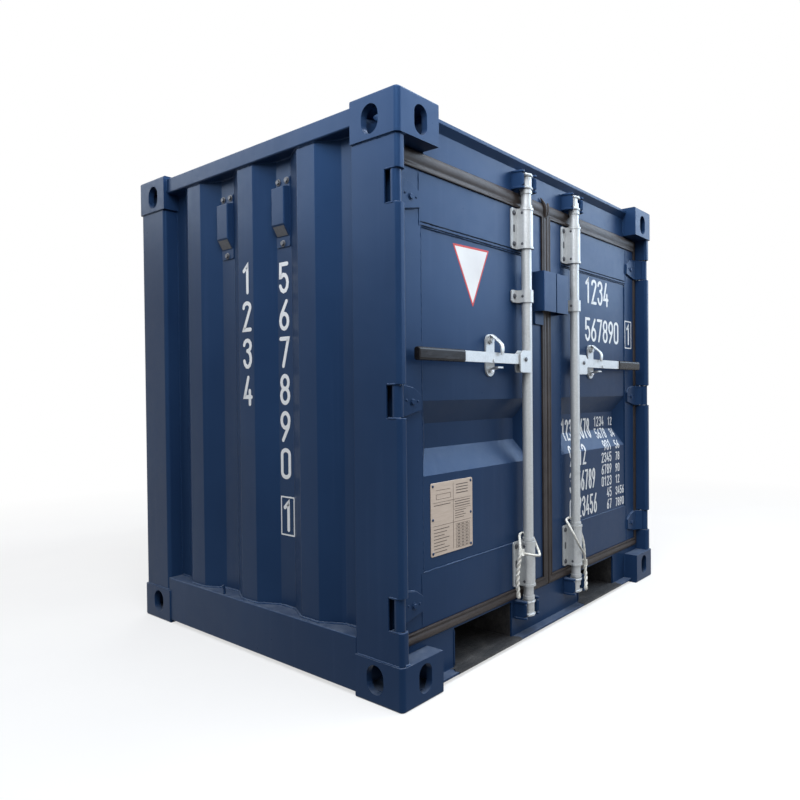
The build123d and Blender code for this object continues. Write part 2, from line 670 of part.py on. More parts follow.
def handle():
    """Left handle, a flat bar with a rivet lug near the retainer."""
    z0 = PIVOT_Z - HANDLE_H / 2
    y0 = HANDLE_Y - HANDLE_T / 2
    bar = block(-HANDLE_END_X + 12, -PIVOT_X + 12, y0, y0 + HANDLE_T, z0, z0 + HANDLE_H)
    bar = fillet(bar.edges().filter_by(Axis.Y), 5)
    bar -= cylinder_y(-PIVOT_X, PIVOT_Z, PIVOT_R + 0.1, y0 - 1, y0 + HANDLE_T + 1)
    bar += cylinder_y(-RETAINER_X - 30, PIVOT_Z - 9, 6, y0 - 3, y0 + 1)
    return bar


def handle_grip():
    """Moulded sleeve on the outer end of the left handle."""
    plane = Plane(origin=(-HANDLE_END_X, HANDLE_Y, PIVOT_Z), x_dir=(0, 1, 0), z_dir=(1, 0, 0))
    grip = extrude(plane * RectangleRounded(GRIP_T, GRIP_H, 8), amount=HANDLE_END_X - GRIP_START_X)
    grip = fillet(grip.edges().filter_by(lambda e: e.center().X < -HANDLE_END_X + 1), 4)
    z0 = PIVOT_Z - HANDLE_H / 2
    y0 = HANDLE_Y - HANDLE_T / 2
    core = block(-HANDLE_END_X + 12, 0, y0, y0 + HANDLE_T, z0, z0 + HANDLE_H)
    core = fillet(core.edges().filter_by(Axis.Y), 5)
    return grip - core


def handle_retainer():
    """Plate on the left leaf behind the handle, with its rest below."""
    plane = Plane(origin=(-RETAINER_X, DOOR_FACE_Y + PANEL_BACK, (RETAINER_TOP + RETAINER_BOTTOM) / 2),
                  x_dir=(1, 0, 0), z_dir=(0, -1, 0))
    plate = extrude(plane * SlotOverall(RETAINER_TOP - RETAINER_BOTTOM, RETAINER_W, rotation=90),
                    amount=RETAINER_T)
    plate_y = DOOR_FACE_Y + PANEL_BACK - RETAINER_T
    top = PIVOT_Z - HANDLE_H / 2 - 6
    line = [(plate_y + 1, top - 12), (HANDLE_Y + 4, top - 5), (HANDLE_Y - HANDLE_T / 2 - 3, top - 5)]
    shelf = prism_x(folded_sheet(line, 5), -RETAINER_X - 14, -RETAINER_X + 14)
    boss = cylinder_y(-RETAINER_X, CATCH_PIVOT_Z, 6, plate_y - CATCH_T - 3, plate_y + 1)
    boss += cylinder_y(-RETAINER_X, CATCH_PIVOT_Z, 9, plate_y - CATCH_T - 6, plate_y - CATCH_T - 2)
    bolt = cylinder_y(-RETAINER_X, RETAINER_BOTTOM + 20, 8, plate_y - 6, plate_y + 1)
    return plate + shelf + boss + bolt


def handle_catch():
    """Left catch: an eye on the retainer's pin and an arm bent forward."""
    plate_y = DOOR_FACE_Y + PANEL_BACK - RETAINER_T
    y_eye = plate_y - 1
    y_front = HANDLE_Y - HANDLE_T / 2 - CATCH_GAP
    line = [(y_eye, CATCH_PIVOT_Z - 12), (y_eye, CATCH_PIVOT_Z + 18),
            (y_front - CATCH_T, CATCH_PIVOT_Z + 13), (y_front - CATCH_T, CATCH_END_Z)]
    arm = prism_x(folded_sheet(line, CATCH_T), -RETAINER_X - CATCH_W / 2, -RETAINER_X + CATCH_W / 2)
    arm -= cylinder_y(-RETAINER_X, CATCH_PIVOT_Z, 6.1, y_eye - CATCH_T - 1, y_eye + 1)
    return arm


def lock_box():
    """Left half of the box that shields the padlock, open at the seam."""
    back = DOOR_FACE_Y
    body = block(-BOX_HALF_W, -BOX_SEAM, BOX_FRONT_Y, back, BOX_BOTTOM, BOX_TOP)
    body = fillet(body.edges().filter_by(Axis.Z).filter_by(
        lambda e: e.center().X < -BOX_HALF_W + 1 and e.center().Y < BOX_FRONT_Y + 1), 3)
    body -= block(-BOX_HALF_W + BOX_WALL, 0, BOX_FRONT_Y + BOX_WALL, back + 1,
                  BOX_BOTTOM - 1, BOX_TOP - BOX_WALL)
    body -= block(-DOOR_IN_X - 1, 0, back - GASKET_PROUD - 1, back + 1, BOX_BOTTOM - 1, BOX_TOP + 1)
    return body


def cam_keeper(z):
    """Left keeper, two jaws on the frame that the cam stands between."""
    low = z - KEEPER_H / 2
    high = z + KEEPER_H / 2
    front = BAR_Y - 18
    jaw = [(KEEPER_HALF_W, HEADER_FACE_Y), (KEEPER_HALF_W, HEADER_FACE_Y - 8), (KEEPER_HALF_W - 6, BAR_Y - 8),
           (KEEPER_HALF_W - 10, BAR_Y - 17), (KEEPER_GAP + 3, BAR_Y - 14), (KEEPER_GAP, BAR_Y - 4),
           (KEEPER_GAP, HEADER_FACE_Y)]
    side_view = [(HEADER_FACE_Y, low), (BAR_Y, low), (front, low + 14), (front, high - 14), (BAR_Y, high),
                 (HEADER_FACE_Y, high)]
    envelope = prism_x(side_view, -BAR_X - KEEPER_HALF_W - 1, -BAR_X + KEEPER_HALF_W + 1)
    return [prism_z([(-BAR_X + side * dx, y) for dx, y in jaw], low, high) & envelope for side in (-1, 1)]


# Door tie ropes

# Each rope passes behind its bar above the lower bracket, crosses the bracket's front and hangs down
LEFT_ROPE = [(-221, -653, 300), (-198, -675, 292), (-159, -676, 282), (-123, -661, 274), (-99, -633, 294),
             (-110, -621, 334), (-145, -614, 351), (-185, -617, 353), (-215, -639, 340), (-232, -653, 306),
             (-239, -651, 268), (-243, -648, 229), (-242, -647, 190), (-237, -648, 157)]
RIGHT_ROPE = [(211, -650, 192), (214, -648, 231), (212, -640, 276), (202, -626, 319), (172, -614, 353),
              (125, -616, 352), (87, -648, 348), (90, -673, 306), (114, -678, 267), (150, -674, 238),
              (185, -663, 210), (202, -655, 167), (196, -663, 122), (180, -671, 88)]


def rope_radii(points):
    """For each corner, 0.45 of the shorter run over the tangent of half the turn."""
    radii = []
    for a, b, c in zip(points, points[1:], points[2:]):
        first = Vector(*b) - Vector(*a)
        second = Vector(*c) - Vector(*b)
        turn = radians(first.get_angle(second))
        radii.append(0.45 * min(first.length, second.length) / tan(turn / 2))
    return radii


def tie_rope(points):
    radii = rope_radii(points)
    path = FilletPolyline(*points, radius=radii)
    start = Vector(*points[1]) - Vector(*points[0])
    tube = sweep(Plane(origin=points[0], z_dir=start) * Circle(ROPE_D / 2), path=path)
    length = path.length
    expected = pi * ROPE_D ** 2 / 4 * length
    print("rope length", round(length, 1), "smallest radius", round(min(radii), 1),
          "volume ratio", round(tube.volume / expected, 4))
    return tube


# All pieces

os.makedirs("parts", exist_ok=True)

save("top_castings_front", both_sides(casting(True, True)))
save("top_left_rear_casting", casting(True, False))
save("top_right_rear_casting", mirrored(casting(True, False)))
save("bottom_castings_front", both_sides(casting(False, True)))
save("bottom_castings_rear", both_sides(casting(False, False)))

save("door_posts", both_sides(door_post()))
save("rear_posts", both_sides(rear_post()))
save("hinge_pins", *[both_sides(pin) for pin in hinge_pins()])
save("door_header", door_header())
save("door_sill", door_sill())
save("top_rails", both_sides(top_side_rail()), rear_top_rail())
save("bottom_rails", both_sides(bottom_side_rail()), rear_bottom_rail())
save("fork_pockets", both_sides(fork_pocket()))
save("cross_members", *cross_members())
save("left_wall", side_wall())
save("right_wall", mirrored(side_wall()))
save("rear_wall", rear_wall())
save("roof_panel", roof_panel())
save("floor", floor_boards())
save("vent_covers", *[both_sides(vent_cover(SIDE_CRIMP_CENTRE_Y + s * CRIMP_PERIOD / 2)) for s in (-1, 1)])
save("tie_back_hooks", both_sides(tie_back_hook()))
save("cam_keepers", *[both_sides(jaw) for z in (CAM_TOP_Z, CAM_BOTTOM_Z) for jaw in cam_keeper(z)])

door_pieces = {
    "door_frame": [door_frame()],
    "door_panel": [door_panel()],
    "door_hinges": door_hinges(),
    "door_gasket": [door_gasket()],
    "bar_brackets": [bar_bracket(z0, z1) for z0, z1 in BRACKET_SPANS],
    "handle_retainer": [handle_retainer()],
    "lock_box_half": [lock_box()],
    "lock_bar": [lock_bar()],
    "handle": [handle()],
    "handle_grip": [handle_grip()],
    "handle_catch": [handle_catch()],
}
for name, shapes in door_pieces.items():
    save(f"left_{name}", *shapes)
    save(f"right_{name}", *[mirrored(shape) for shape in shapes])

save("left_tie_rope", tie_rope(LEFT_ROPE))
save("right_tie_rope", tie_rope(RIGHT_ROPE))
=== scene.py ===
import json
import math
import random

import bpy
from mathutils import Matrix, Vector


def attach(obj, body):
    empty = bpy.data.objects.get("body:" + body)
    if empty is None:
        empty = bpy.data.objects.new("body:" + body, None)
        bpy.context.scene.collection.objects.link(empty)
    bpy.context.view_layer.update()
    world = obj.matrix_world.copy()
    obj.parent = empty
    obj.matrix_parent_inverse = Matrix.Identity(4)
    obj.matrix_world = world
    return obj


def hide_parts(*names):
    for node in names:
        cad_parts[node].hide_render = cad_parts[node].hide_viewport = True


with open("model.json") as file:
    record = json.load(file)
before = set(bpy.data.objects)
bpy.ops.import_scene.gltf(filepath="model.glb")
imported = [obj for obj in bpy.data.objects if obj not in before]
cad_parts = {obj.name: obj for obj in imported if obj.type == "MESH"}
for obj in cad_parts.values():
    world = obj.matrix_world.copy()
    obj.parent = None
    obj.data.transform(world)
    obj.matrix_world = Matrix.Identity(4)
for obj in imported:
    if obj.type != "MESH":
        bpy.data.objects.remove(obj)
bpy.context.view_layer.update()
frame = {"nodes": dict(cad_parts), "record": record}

# Looks of a small steel freight container
# X runs across the door end, the doors face -Y, Z is up from the ground
# MM and mm() turn millimetres into metres

scene = bpy.context.scene
MM = 0.001
TURN = 2 * math.pi
SIDES = (("left", -1), ("right", 1))
FORWARD = (0, -1, 0)


def mm(x, y, z):
    return Vector((x * MM, y * MM, z * MM))


# Camera at the photograph's viewpoint

CAMERA_PLACE = mm(-2027.483, -1852.798, 832.246)
CAMERA_YAW = -0.922241
CAMERA_PITCH = -0.014821
CAMERA_ROLL = 0.007811
FOCAL_PIXELS = 662.888
CENTRE_PIXEL_X = 480.0
CENTRE_PIXEL_Y = 400.794
IMAGE_PIXELS = 800.0
SENSOR = 36.0


def make_camera():
    turn = Matrix.Rotation(CAMERA_YAW, 3, "Z") @ Matrix.Rotation(CAMERA_PITCH, 3, "X")
    turn = turn @ Matrix.Rotation(CAMERA_ROLL, 3, "Y")
    right, ahead, up = turn.col
    data = bpy.data.cameras.new("camera")
    data.sensor_width = SENSOR
    data.lens = FOCAL_PIXELS * SENSOR / IMAGE_PIXELS
    data.shift_x = (IMAGE_PIXELS / 2 - CENTRE_PIXEL_X) / IMAGE_PIXELS
    data.shift_y = (CENTRE_PIXEL_Y - IMAGE_PIXELS / 2) / IMAGE_PIXELS
    data.clip_end = 60.0
    camera = bpy.data.objects.new("camera", data)
    scene.collection.objects.link(camera)
    facing = Matrix((right, up, -ahead)).transposed().to_4x4()
    camera.matrix_world = Matrix.Translation(CAMERA_PLACE) @ facing
    scene.camera = camera


# Material building blocks

class Nodes:
    """Short names for the nodes and links of a material's or world's tree."""

    def __init__(self, owner):
        owner.use_nodes = True
        self.owner = owner
        self.tree = owner.node_tree

    def add(self, kind, inputs=None, **settings):
        node = self.tree.nodes.new(kind)
        for key, value in settings.items():
            setattr(node, key, value)
        self.feed(node, inputs or {})
        return node

    def feed(self, node, inputs):
        """Gives each named input its link, colour or number."""
        for name, value in inputs.items():
            socket = node.inputs[name]
            if isinstance(value, bpy.types.NodeSocket):
                self.tree.links.new(value, socket)
            elif socket.type == "RGBA":
                socket.default_value = (*value, 1.0)
            else:
                socket.default_value = value

    def stretched(self, scale):
        """The place with each axis scaled, for streaks and grain."""
        return self.add("ShaderNodeVectorMath", {0: self.place, 1: scale}, operation="MULTIPLY").outputs[0]

    def noise(self, scale, detail=3.0, roughness=0.5, place=None, distortion=0.0):
        inputs = {"Scale": scale, "Detail": detail, "Roughness": roughness, "Distortion": distortion,
                  "Vector": place or self.place}
        return self.add("ShaderNodeTexNoise", inputs).outputs["Fac"]

    def cells(self, scale, output="Distance"):
        return self.add("ShaderNodeTexVoronoi", {"Scale": scale, "Vector": self.place}).outputs[output]

    def ramp(self, source, low, high, out_low=0.0, out_high=1.0):
        inputs = {"Value": source, "From Min": low, "From Max": high, "To Min": out_low, "To Max": out_high}
        return self.add("ShaderNodeMapRange", inputs).outputs["Result"]

    def math(self, operation, a, b):
        return self.add("ShaderNodeMath", {0: a, 1: b}, operation=operation).outputs[0]

    def mix(self, factor, a, b):
        return self.add("ShaderNodeMix", {"Factor": factor, 6: a, 7: b}, data_type="RGBA").outputs[2]

    def bump(self, height, distance, strength, after=None):
        inputs = {"Height": height, "Distance": distance, "Strength": strength}
        if after:
            inputs["Normal"] = after
        return self.add("ShaderNodeBump", inputs).outputs["Normal"]

    def axis(self, source, name):
        return self.add("ShaderNodeSeparateXYZ", {0: source}).outputs[name]

    def blend(self, factor, a, b):
        """A mix of two shaders."""
        return self.add("ShaderNodeMixShader", {0: factor, 1: a.outputs[0], 2: b.outputs[0]}).outputs[0]

    def looked_at(self):
        """One for what is seen directly, in gloss or through something clear, and else nought."""
        path = self.add("ShaderNodeLightPath").outputs
        looked_at = self.math("MAXIMUM", path["Is Camera Ray"], path["Is Glossy Ray"])
        return self.math("MAXIMUM", looked_at, path["Is Transmission Ray"])

    def finish(self, colour, roughness, normal, metallic=0.0, specular=0.5):
        self.feed(self.shader, {"Base Color": colour, "Roughness": roughness, "Normal": normal,
                                "Metallic": metallic, "Specular IOR Level": specular})
        return self.owner


def new_material(name):
    n = Nodes(bpy.data.materials.new(name))
    n.shader = n.tree.nodes["Principled BSDF"]
    n.place = n.add("ShaderNodeTexCoord").outputs["Object"]
    return n


# Materials

def navy_paint():
    """Satin navy sprayed paint with slow waves, dust on ledges, paler vertical streaks that are painted
    reflections, and small chips.
    """
    n = new_material("navy_paint")
    broad = n.ramp(n.noise(1.7, 4.0), 0.35, 0.68)
    colour = n.mix(broad, (0.0115, 0.0300, 0.0780), (0.0165, 0.0410, 0.1010))
    # Painted reflection: paler vertical streaks stand in for reflections in the paint
    reflection_streak = n.noise(1.0, 4.0, 0.6, place=n.stretched((34.0, 34.0, 1.3)))
    colour = n.mix(n.ramp(reflection_streak, 0.56, 0.80, 0.0, 0.22), colour, (0.036, 0.064, 0.138))
    up = n.axis(n.add("ShaderNodeNewGeometry").outputs["Normal"], "Z")
    settled = n.ramp(n.noise(26.0, 5.0, 0.65), 0.30, 0.75, 0.15, 0.75)
    dust = n.math("MULTIPLY", n.ramp(up, 0.35, 0.95), settled)
    colour = n.mix(dust, colour, (0.130, 0.155, 0.200))
    chip = n.ramp(n.cells(95.0), 0.0, 0.085, 1.0, 0.0)
    chip = n.math("MULTIPLY", chip, n.ramp(n.noise(5.0, 3.0), 0.57, 0.66))
    colour = n.mix(n.math("MULTIPLY", chip, 0.55), colour, (0.20, 0.22, 0.27))
    roughness = n.ramp(n.noise(38.0, 4.0, 0.6), 0.25, 0.75, 0.27, 0.40)
    roughness = n.math("ADD", roughness, n.math("MULTIPLY", dust, 0.25))
    waves = n.bump(n.noise(3.4, 2.0), 0.010, 0.32)
    peel = n.bump(n.noise(420.0, 2.0), 0.0004, 0.22, after=waves)
    n.feed(n.shader, {"Specular Tint": (0.32, 0.58, 1.0)})
    return n.finish(colour, roughness, peel, specular=0.12)


def galvanised_steel(name, light, dark, metallic):
    """Dull zinc with spangle, dark stains and fine scratches."""
    n = new_material(name)
    spangle = n.axis(n.cells(210.0, "Color"), "X")
    colour = n.mix(n.ramp(spangle, 0.0, 1.0, 0.0, 0.26), light, dark)
    stain = n.ramp(n.noise(22.0, 5.0, 0.65), 0.56, 0.80, 0.0, 0.4)
    colour = n.mix(stain, colour, tuple(0.70 * c for c in dark))
    scratch = n.ramp(n.noise(1.0, 4.0, 0.6, place=n.stretched((260.0, 260.0, 14.0))), 0.60, 0.72, 0.0, 0.35)
    colour = n.mix(scratch, colour, tuple(min(1.0, 1.3 * c) for c in light))
    roughness = n.math("ADD", n.ramp(spangle, 0.0, 1.0, 0.42, 0.54), n.math("MULTIPLY", stain, 0.2))
    return n.finish(colour, roughness, n.bump(n.noise(160.0), 0.0006, 0.35), metallic=metallic)


def seal_rubber():
    """Brown-black rubber with paler dust rubbed along its length."""
    n = new_material("seal_rubber")
    dust = n.ramp(n.noise(9.0, 6.0, 0.7), 0.40, 0.75, 0.0, 0.5)
    colour = n.mix(dust, (0.0290, 0.0225, 0.0205), (0.084, 0.068, 0.062))
    grain = n.noise(300.0)
    return n.finish(colour, n.ramp(grain, 0.3, 0.7, 0.38, 0.54), n.bump(grain, 0.0005, 0.4), specular=0.17)


def grip_plastic():
    """Black moulded grip, dipped, with soft lengthwise ripples and scuffs."""
    n = new_material("grip_plastic")
    scuff = n.ramp(n.noise(60.0, 5.0, 0.7, place=n.stretched((0.25, 1.0, 1.0))), 0.55, 0.75, 0.0, 0.7)
    colour = n.mix(scuff, (0.0120, 0.0115, 0.0130), (0.047, 0.044, 0.048))
    ripple = n.noise(34.0, place=n.stretched((0.3, 1.0, 1.0)))
    return n.finish(colour, n.ramp(scuff, 0.0, 0.7, 0.26, 0.5), n.bump(ripple, 0.002, 0.4), specular=0.14)


def rope_fibre():
    """Off-white spun fibres, a little soiled."""
    n = new_material("rope_fibre")
    soil = n.ramp(n.noise(55.0, 5.0, 0.7), 0.45, 0.72, 0.0, 0.7)
    colour = n.mix(soil, (0.76, 0.74, 0.68), (0.46, 0.43, 0.37))
    fibre = n.noise(1400.0, 2.0, 0.6)
    return n.finish(colour, 0.85, n.bump(fibre, 0.0006, 0.8), specular=0.25)


def floor_wood():
    """Plywood floor with grain along the container and dirt in patches."""
    n = new_material("floor_wood")
    grain = n.noise(1.0, 6.0, 0.65, place=n.stretched((90.0, 2.4, 40.0)), distortion=0.6)
    colour = n.mix(n.ramp(grain, 0.3, 0.72), (0.19, 0.105, 0.052), (0.36, 0.23, 0.125))
    dirt = n.ramp(n.noise(4.0, 5.0, 0.6), 0.45, 0.8, 0.0, 0.55)
    colour = n.mix(dirt, colour, (0.085, 0.065, 0.048))
    return n.finish(colour, n.ramp(grain, 0.2, 0.8, 0.55, 0.78), n.bump(grain, 0.001, 0.5))


def pocket_coating():
    """Thick black underside coating, lumpy and matt with dusty patches."""
    n = new_material("pocket_coating")
    lumps = n.noise(85.0, 5.0, 0.7)
    dust = n.ramp(n.noise(11.0, 6.0, 0.7), 0.48, 0.78, 0.0, 0.65)
    colour = n.mix(dust, (0.0095, 0.0095, 0.0108), (0.090, 0.084, 0.079))
    return n.finish(colour, n.ramp(lumps, 0.3, 0.7, 0.5, 0.85), n.bump(lumps, 0.004, 0.9))


def marking_paint():
    """White stencilled paint, slightly thin and chalky."""
    n = new_material("marking_paint")
    thin = n.ramp(n.noise(75.0, 5.0, 0.7), 0.58, 0.80, 0.0, 0.5)
    colour = n.mix(thin, (0.78, 0.79, 0.80), (0.50, 0.53, 0.58))
    chalk = n.bump(n.noise(420.0, 2.0), 0.0004, 0.2)
    return n.finish(colour, n.ramp(thin, 0.0, 0.5, 0.42, 0.6), chalk, specular=0.15)


def printed_film(name, fresh, faded):
    """Printed plastic film, a little faded in patches."""
    n = new_material(name)
    patch = n.ramp(n.noise(14.0, 4.0), 0.35, 0.75)
    return n.finish(n.mix(patch, fresh, faded), n.ramp(patch, 0.0, 1.0, 0.38, 0.52),
                    n.bump(n.noise(120.0, 2.0), 0.0004, 0.15), specular=0.08)


def painted_shadow_gap():
    """Matt blue-black paint with paler dust, for the painted shadow lines in the gaps above the door panels.
    """
    n = new_material("painted_shadow_gap")
    dust = n.ramp(n.noise(40.0, 5.0, 0.7), 0.45, 0.75)
    colour = n.mix(dust, (0.006, 0.011, 0.024), (0.013, 0.024, 0.048))
    return n.finish(colour, 0.8, n.bump(n.noise(300.0), 0.0004, 0.3), specular=0.06)


def plate_metal():
    """Beige plate of brushed metal."""
    n = new_material("plate_metal")
    brushed = n.noise(1.0, 4.0, 0.6, place=n.stretched((30.0, 30.0, 900.0)))
    colour = n.mix(n.ramp(brushed, 0.3, 0.7), (0.45, 0.360, 0.290), (0.55, 0.450, 0.370))
    roughness = n.ramp(brushed, 0.3, 0.7, 0.34, 0.48)
    return n.finish(colour, roughness, n.bump(brushed, 0.0004, 0.25), metallic=0.25)


NAVY = navy_paint()
ZINC = galvanised_steel("galvanised_steel", (0.47, 0.48, 0.48), (0.34, 0.35, 0.355), 0.4)
BRIGHT = galvanised_steel("bright_zinc", (0.70, 0.71, 0.73), (0.50, 0.51, 0.53), 0.85)
# Dark steel for bolts and pin heads, and also the colour of the films painted as shade in slots and vent
# mouths
DARK_STEEL_AND_SHADE = galvanised_steel("dark_steel_and_painted_shade", (0.078, 0.081, 0.091), (0.042, 0.044, 0.052), 0.4)
RUBBER = seal_rubber()
GRIP = grip_plastic()
ROPE = rope_fibre()
WOOD = floor_wood()
TAR = pocket_coating()
MARKING = marking_paint()
STICKER_WHITE = printed_film("sticker_white", (0.80, 0.80, 0.80), (0.72, 0.72, 0.73))
STICKER_RED = printed_film("sticker_red", (0.62, 0.060, 0.055), (0.52, 0.090, 0.085))
# Blue-black paint for the lines painted as shadow in the gaps above the door panels
SHADOW_GAP_PAINT = painted_shadow_gap()
PRINT_INK = printed_film("print_ink", (0.065, 0.055, 0.050), (0.120, 0.100, 0.088))
PLATE = plate_metal()

SLOT_MATERIAL = {"navy_paint": NAVY, "galvanised_steel": ZINC, "seal_rubber": RUBBER, "grip_plastic": GRIP,
                 "rope_fibre": ROPE, "floor_wood": WOOD, "pocket_coating": TAR}


# Mesh building blocks

def across(direction):
    """Two directions at right angles to one and to each other."""
    side = direction.orthogonal().normalized()
    return side, direction.cross(side)


def circle(middle, side, other, radius, count, start=0.0):
    """A ring of points that runs from one direction towards the other."""
    angles = [start + TURN * i / count for i in range(count)]
    return [middle + (side * math.cos(a) + other * math.sin(a)) * radius for a in angles]


def add_bevel(piece, width, segments):
    bevel = piece.modifiers.new("bevel", "BEVEL")
    bevel.width = width
    bevel.segments = segments
    return bevel


class Shape:
    """Points and faces of one piece while it is put together."""

    def __init__(self):
        self.points = []
        self.faces = []

    def add(self, points, faces):
        first = len(self.points)
        self.points += [Vector(p) for p in points]
        self.faces += [tuple(first + i for i in face) for face in faces]

    def rings(self, rings, closed=False):
        """A skin over rings of as many points each: a bar with two ends, or a closed hoop."""
        count = len(rings[0])
        total = len(rings)
        faces = []
        for k in range(total if closed else total - 1):
            a = k * count
            b = ((k + 1) % total) * count
            faces += [(a + i, a + (i + 1) % count, b + (i + 1) % count, b + i) for i in range(count)]
        if not closed:
            faces.append(tuple(reversed(range(count))))
            faces.append(tuple(range((total - 1) * count, total * count)))
        self.add([p for ring in rings for p in ring], faces)

    def turned(self, profile, place, axis, sides, start=0.0):
        """Turned form: profile of (radius, height) pairs along an axis."""
        axis = Vector(axis).normalized()
        side, other = across(axis)
        self.rings([circle(Vector(place) + axis * height, side, other, radius, sides, start)
                    for radius, height in profile])

    def piece(self, name, body, material, slot, smooth=30.0):
        mesh = bpy.data.meshes.new(name)
        mesh.from_pydata(self.points, [], self.faces)
        mesh.update()
        piece = bpy.data.objects.new(name, mesh)
        scene.collection.objects.link(piece)
        mesh.materials.append(material)
        mesh.shade_smooth()
        mesh.set_sharp_from_angle(angle=math.radians(smooth))
        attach(piece, body)
        return piece


WASHER = ((1.35, 0.0), (1.35, 0.22), (1.2, 0.3), (0.5, 0.3))
HEXAGON = ((1.0, 0.25), (1.0, 0.86), (0.86, 1.0), (0.3, 1.0))
RIVET_STEPS = 5


def hex_bolt(shape, place, axis, radius, height, turn):
    """Hexagon head with a chamfered crown on a round washer."""
    for shares, sides, start in ((WASHER, 20, 0.0), (HEXAGON, 6, turn)):
        shape.turned([(radius * r, height * h) for r, h in shares], place, axis, sides, start)


def rivet(shape, place, axis, radius, height):
    """Round rivet head."""
    profile = [(radius, -height * 0.3)]
    for k in range(RIVET_STEPS):
        angle = math.pi / 2 * k / RIVET_STEPS
        profile.append((radius * math.cos(angle), height * math.sin(angle)))
    profile.append((radius * 0.12, height))
    shape.turned(profile, place, axis, 14)


def resample(points, step):
    """Points along straight runs, no further apart than a step."""
    made = [Vector(points[0])]
    for a, b in zip(points, points[1:]):
        a = Vector(a)
        b = Vector(b)
        count = max(1, math.ceil((b - a).length / step))
        made += [a.lerp(b, k / count) for k in range(1, count + 1)]
    return made


def heading(line, k):
    """The way a line of points runs at its point k."""
    return (line[min(k + 1, len(line) - 1)] - line[max(k - 1, 0)]).normalized()


def line_frames(line):
    """Along a line: its points with two directions across that don't twist."""
    side = None
    frames = []
    for k, point in enumerate(line):
        ahead = heading(line, k)
        side = ahead.orthogonal() if side is None else side - ahead * side.dot(ahead)
        side.normalize()
        frames.append((point, side.copy(), ahead.cross(side)))
    return frames


def travel(line):
    """How far along a line each of its points lies."""
    travelled = [0.0]
    for a, b in zip(line, line[1:]):
        travelled.append(travelled[-1] + (b - a).length)
    return travelled


BEAD_STEP = 6 * MM
LONG_BEAD_STEP = 12 * MM
BEAD_SIDES = 7
BEAD_SWELL = (0.72, 1.34)
BEAD_RIPPLE = 0.14
BEAD_WANDER = 0.16
BEAD_END = 0.35


def weld_bead(shape, points, radius, seed, step=BEAD_STEP):
    """Hand-laid bead: ripples, swells and a wandering line along a joint."""
    draw = random.Random(seed)
    line = resample(points, step)
    rings = []
    swell = 1.0
    for k, point in enumerate(line):
        side, other = across(heading(line, k))
        swell = 0.7 * swell + 0.3 * draw.uniform(*BEAD_SWELL)
        size = radius * swell * (1.0 + BEAD_RIPPLE * (1 if k % 2 else -1))
        if k in (0, len(line) - 1):
            size *= BEAD_END
        middle = point + (side * draw.uniform(-1, 1) + other * draw.uniform(-1, 1)) * radius * BEAD_WANDER
        rings.append(circle(middle, side, other, size, BEAD_SIDES))
    shape.rings(rings)


def upright_bead(shape, x, y, low, high, radius, seed, step=BEAD_STEP):
    weld_bead(shape, [mm(x, y, low), mm(x, y, high)], radius, seed, step)


# Ropes, the free cords

ROPE_D = 9.0 * MM
LEFT_ROPE = [(-221, -653, 300), (-198, -675, 292), (-159, -676, 282), (-123, -661, 274), (-99, -633, 294),
             (-110, -621, 334), (-145, -614, 351), (-185, -617, 353), (-215, -639, 340), (-232, -653, 306),
             (-239, -651, 268), (-243, -648, 229), (-242, -647, 190), (-237, -648, 157)]
RIGHT_ROPE = [(211, -650, 192), (214, -648, 231), (212, -640, 276), (202, -626, 319), (172, -614, 353),
              (125, -616, 352), (87, -648, 348), (90, -673, 306), (114, -678, 267), (150, -674, 238),
              (185, -663, 210), (202, -655, 167), (196, -663, 122), (180, -671, 88)]
ROPES = (("left", LEFT_ROPE, 9, 5), ("right", RIGHT_ROPE, 11, 6))
ROUTE_STEPS = 16
CORD_RIDGES = 3
CORD_SIDES = 18
CORD_LAY = 16 * MM
TAIL_CORDS = 2
TAIL_CORD_R = 3.6 * MM
TAIL_ORBIT = 3.3 * MM
TAIL_LAY = 38 * MM
RIDGE = 0.07
KNOT_TURNS = 7
KNOT_HALF = 11 * MM
KNOT_THREAD = 2 * MM
END_TURNS = 6
END_L = 10 * MM
END_THREAD = 0.0009
COIL_STEPS = 14
FIBRES = 16
FIBRE_ROOTS = (0.05, 0.36)
FIBRE_DEPTH = 4 * MM
FIBRE_REACH = (6 * MM, 11 * MM)
FIBRE_SPREAD = (0.0, 1.5 * MM)
FIBRE_R = (0.7 * MM, 0.6 * MM, 0.2 * MM)


def rope_line(points):
    """Points read from the route's smooth spline."""
    curve = bpy.data.curves.new("route", "CURVE")
    curve.dimensions = "3D"
    curve.resolution_u = ROUTE_STEPS
    spline = curve.splines.new("NURBS")
    spline.points.add(len(points) - 1)
    for control, point in zip(spline.points, points):
        control.co = (*(c * MM for c in point), 1.0)
    spline.order_u = 3
    spline.use_endpoint_u = True
    holder = bpy.data.objects.new("route", curve)
    scene.collection.objects.link(holder)
    mesh = bpy.data.meshes.new_from_object(holder)
    line = [v.co.copy() for v in mesh.vertices]
    bpy.data.objects.remove(holder)
    bpy.data.meshes.remove(mesh)
    return line


def cord_skin(shape, line, radius):
    """A laid cord along a line, with shallow ridges that wind round it."""
    rings = []
    for (point, side, other), travelled in zip(line_frames(line), travel(line)):
        ring = []
        for i in range(CORD_SIDES):
            a = TURN * i / CORD_SIDES
            ridge = 1.0 + RIDGE * math.cos(CORD_RIDGES * a - TURN * travelled / CORD_LAY)
            ring.append(point + (side * math.cos(a) + other * math.sin(a)) * radius * ridge)
        rings.append(ring)
    shape.rings(rings)


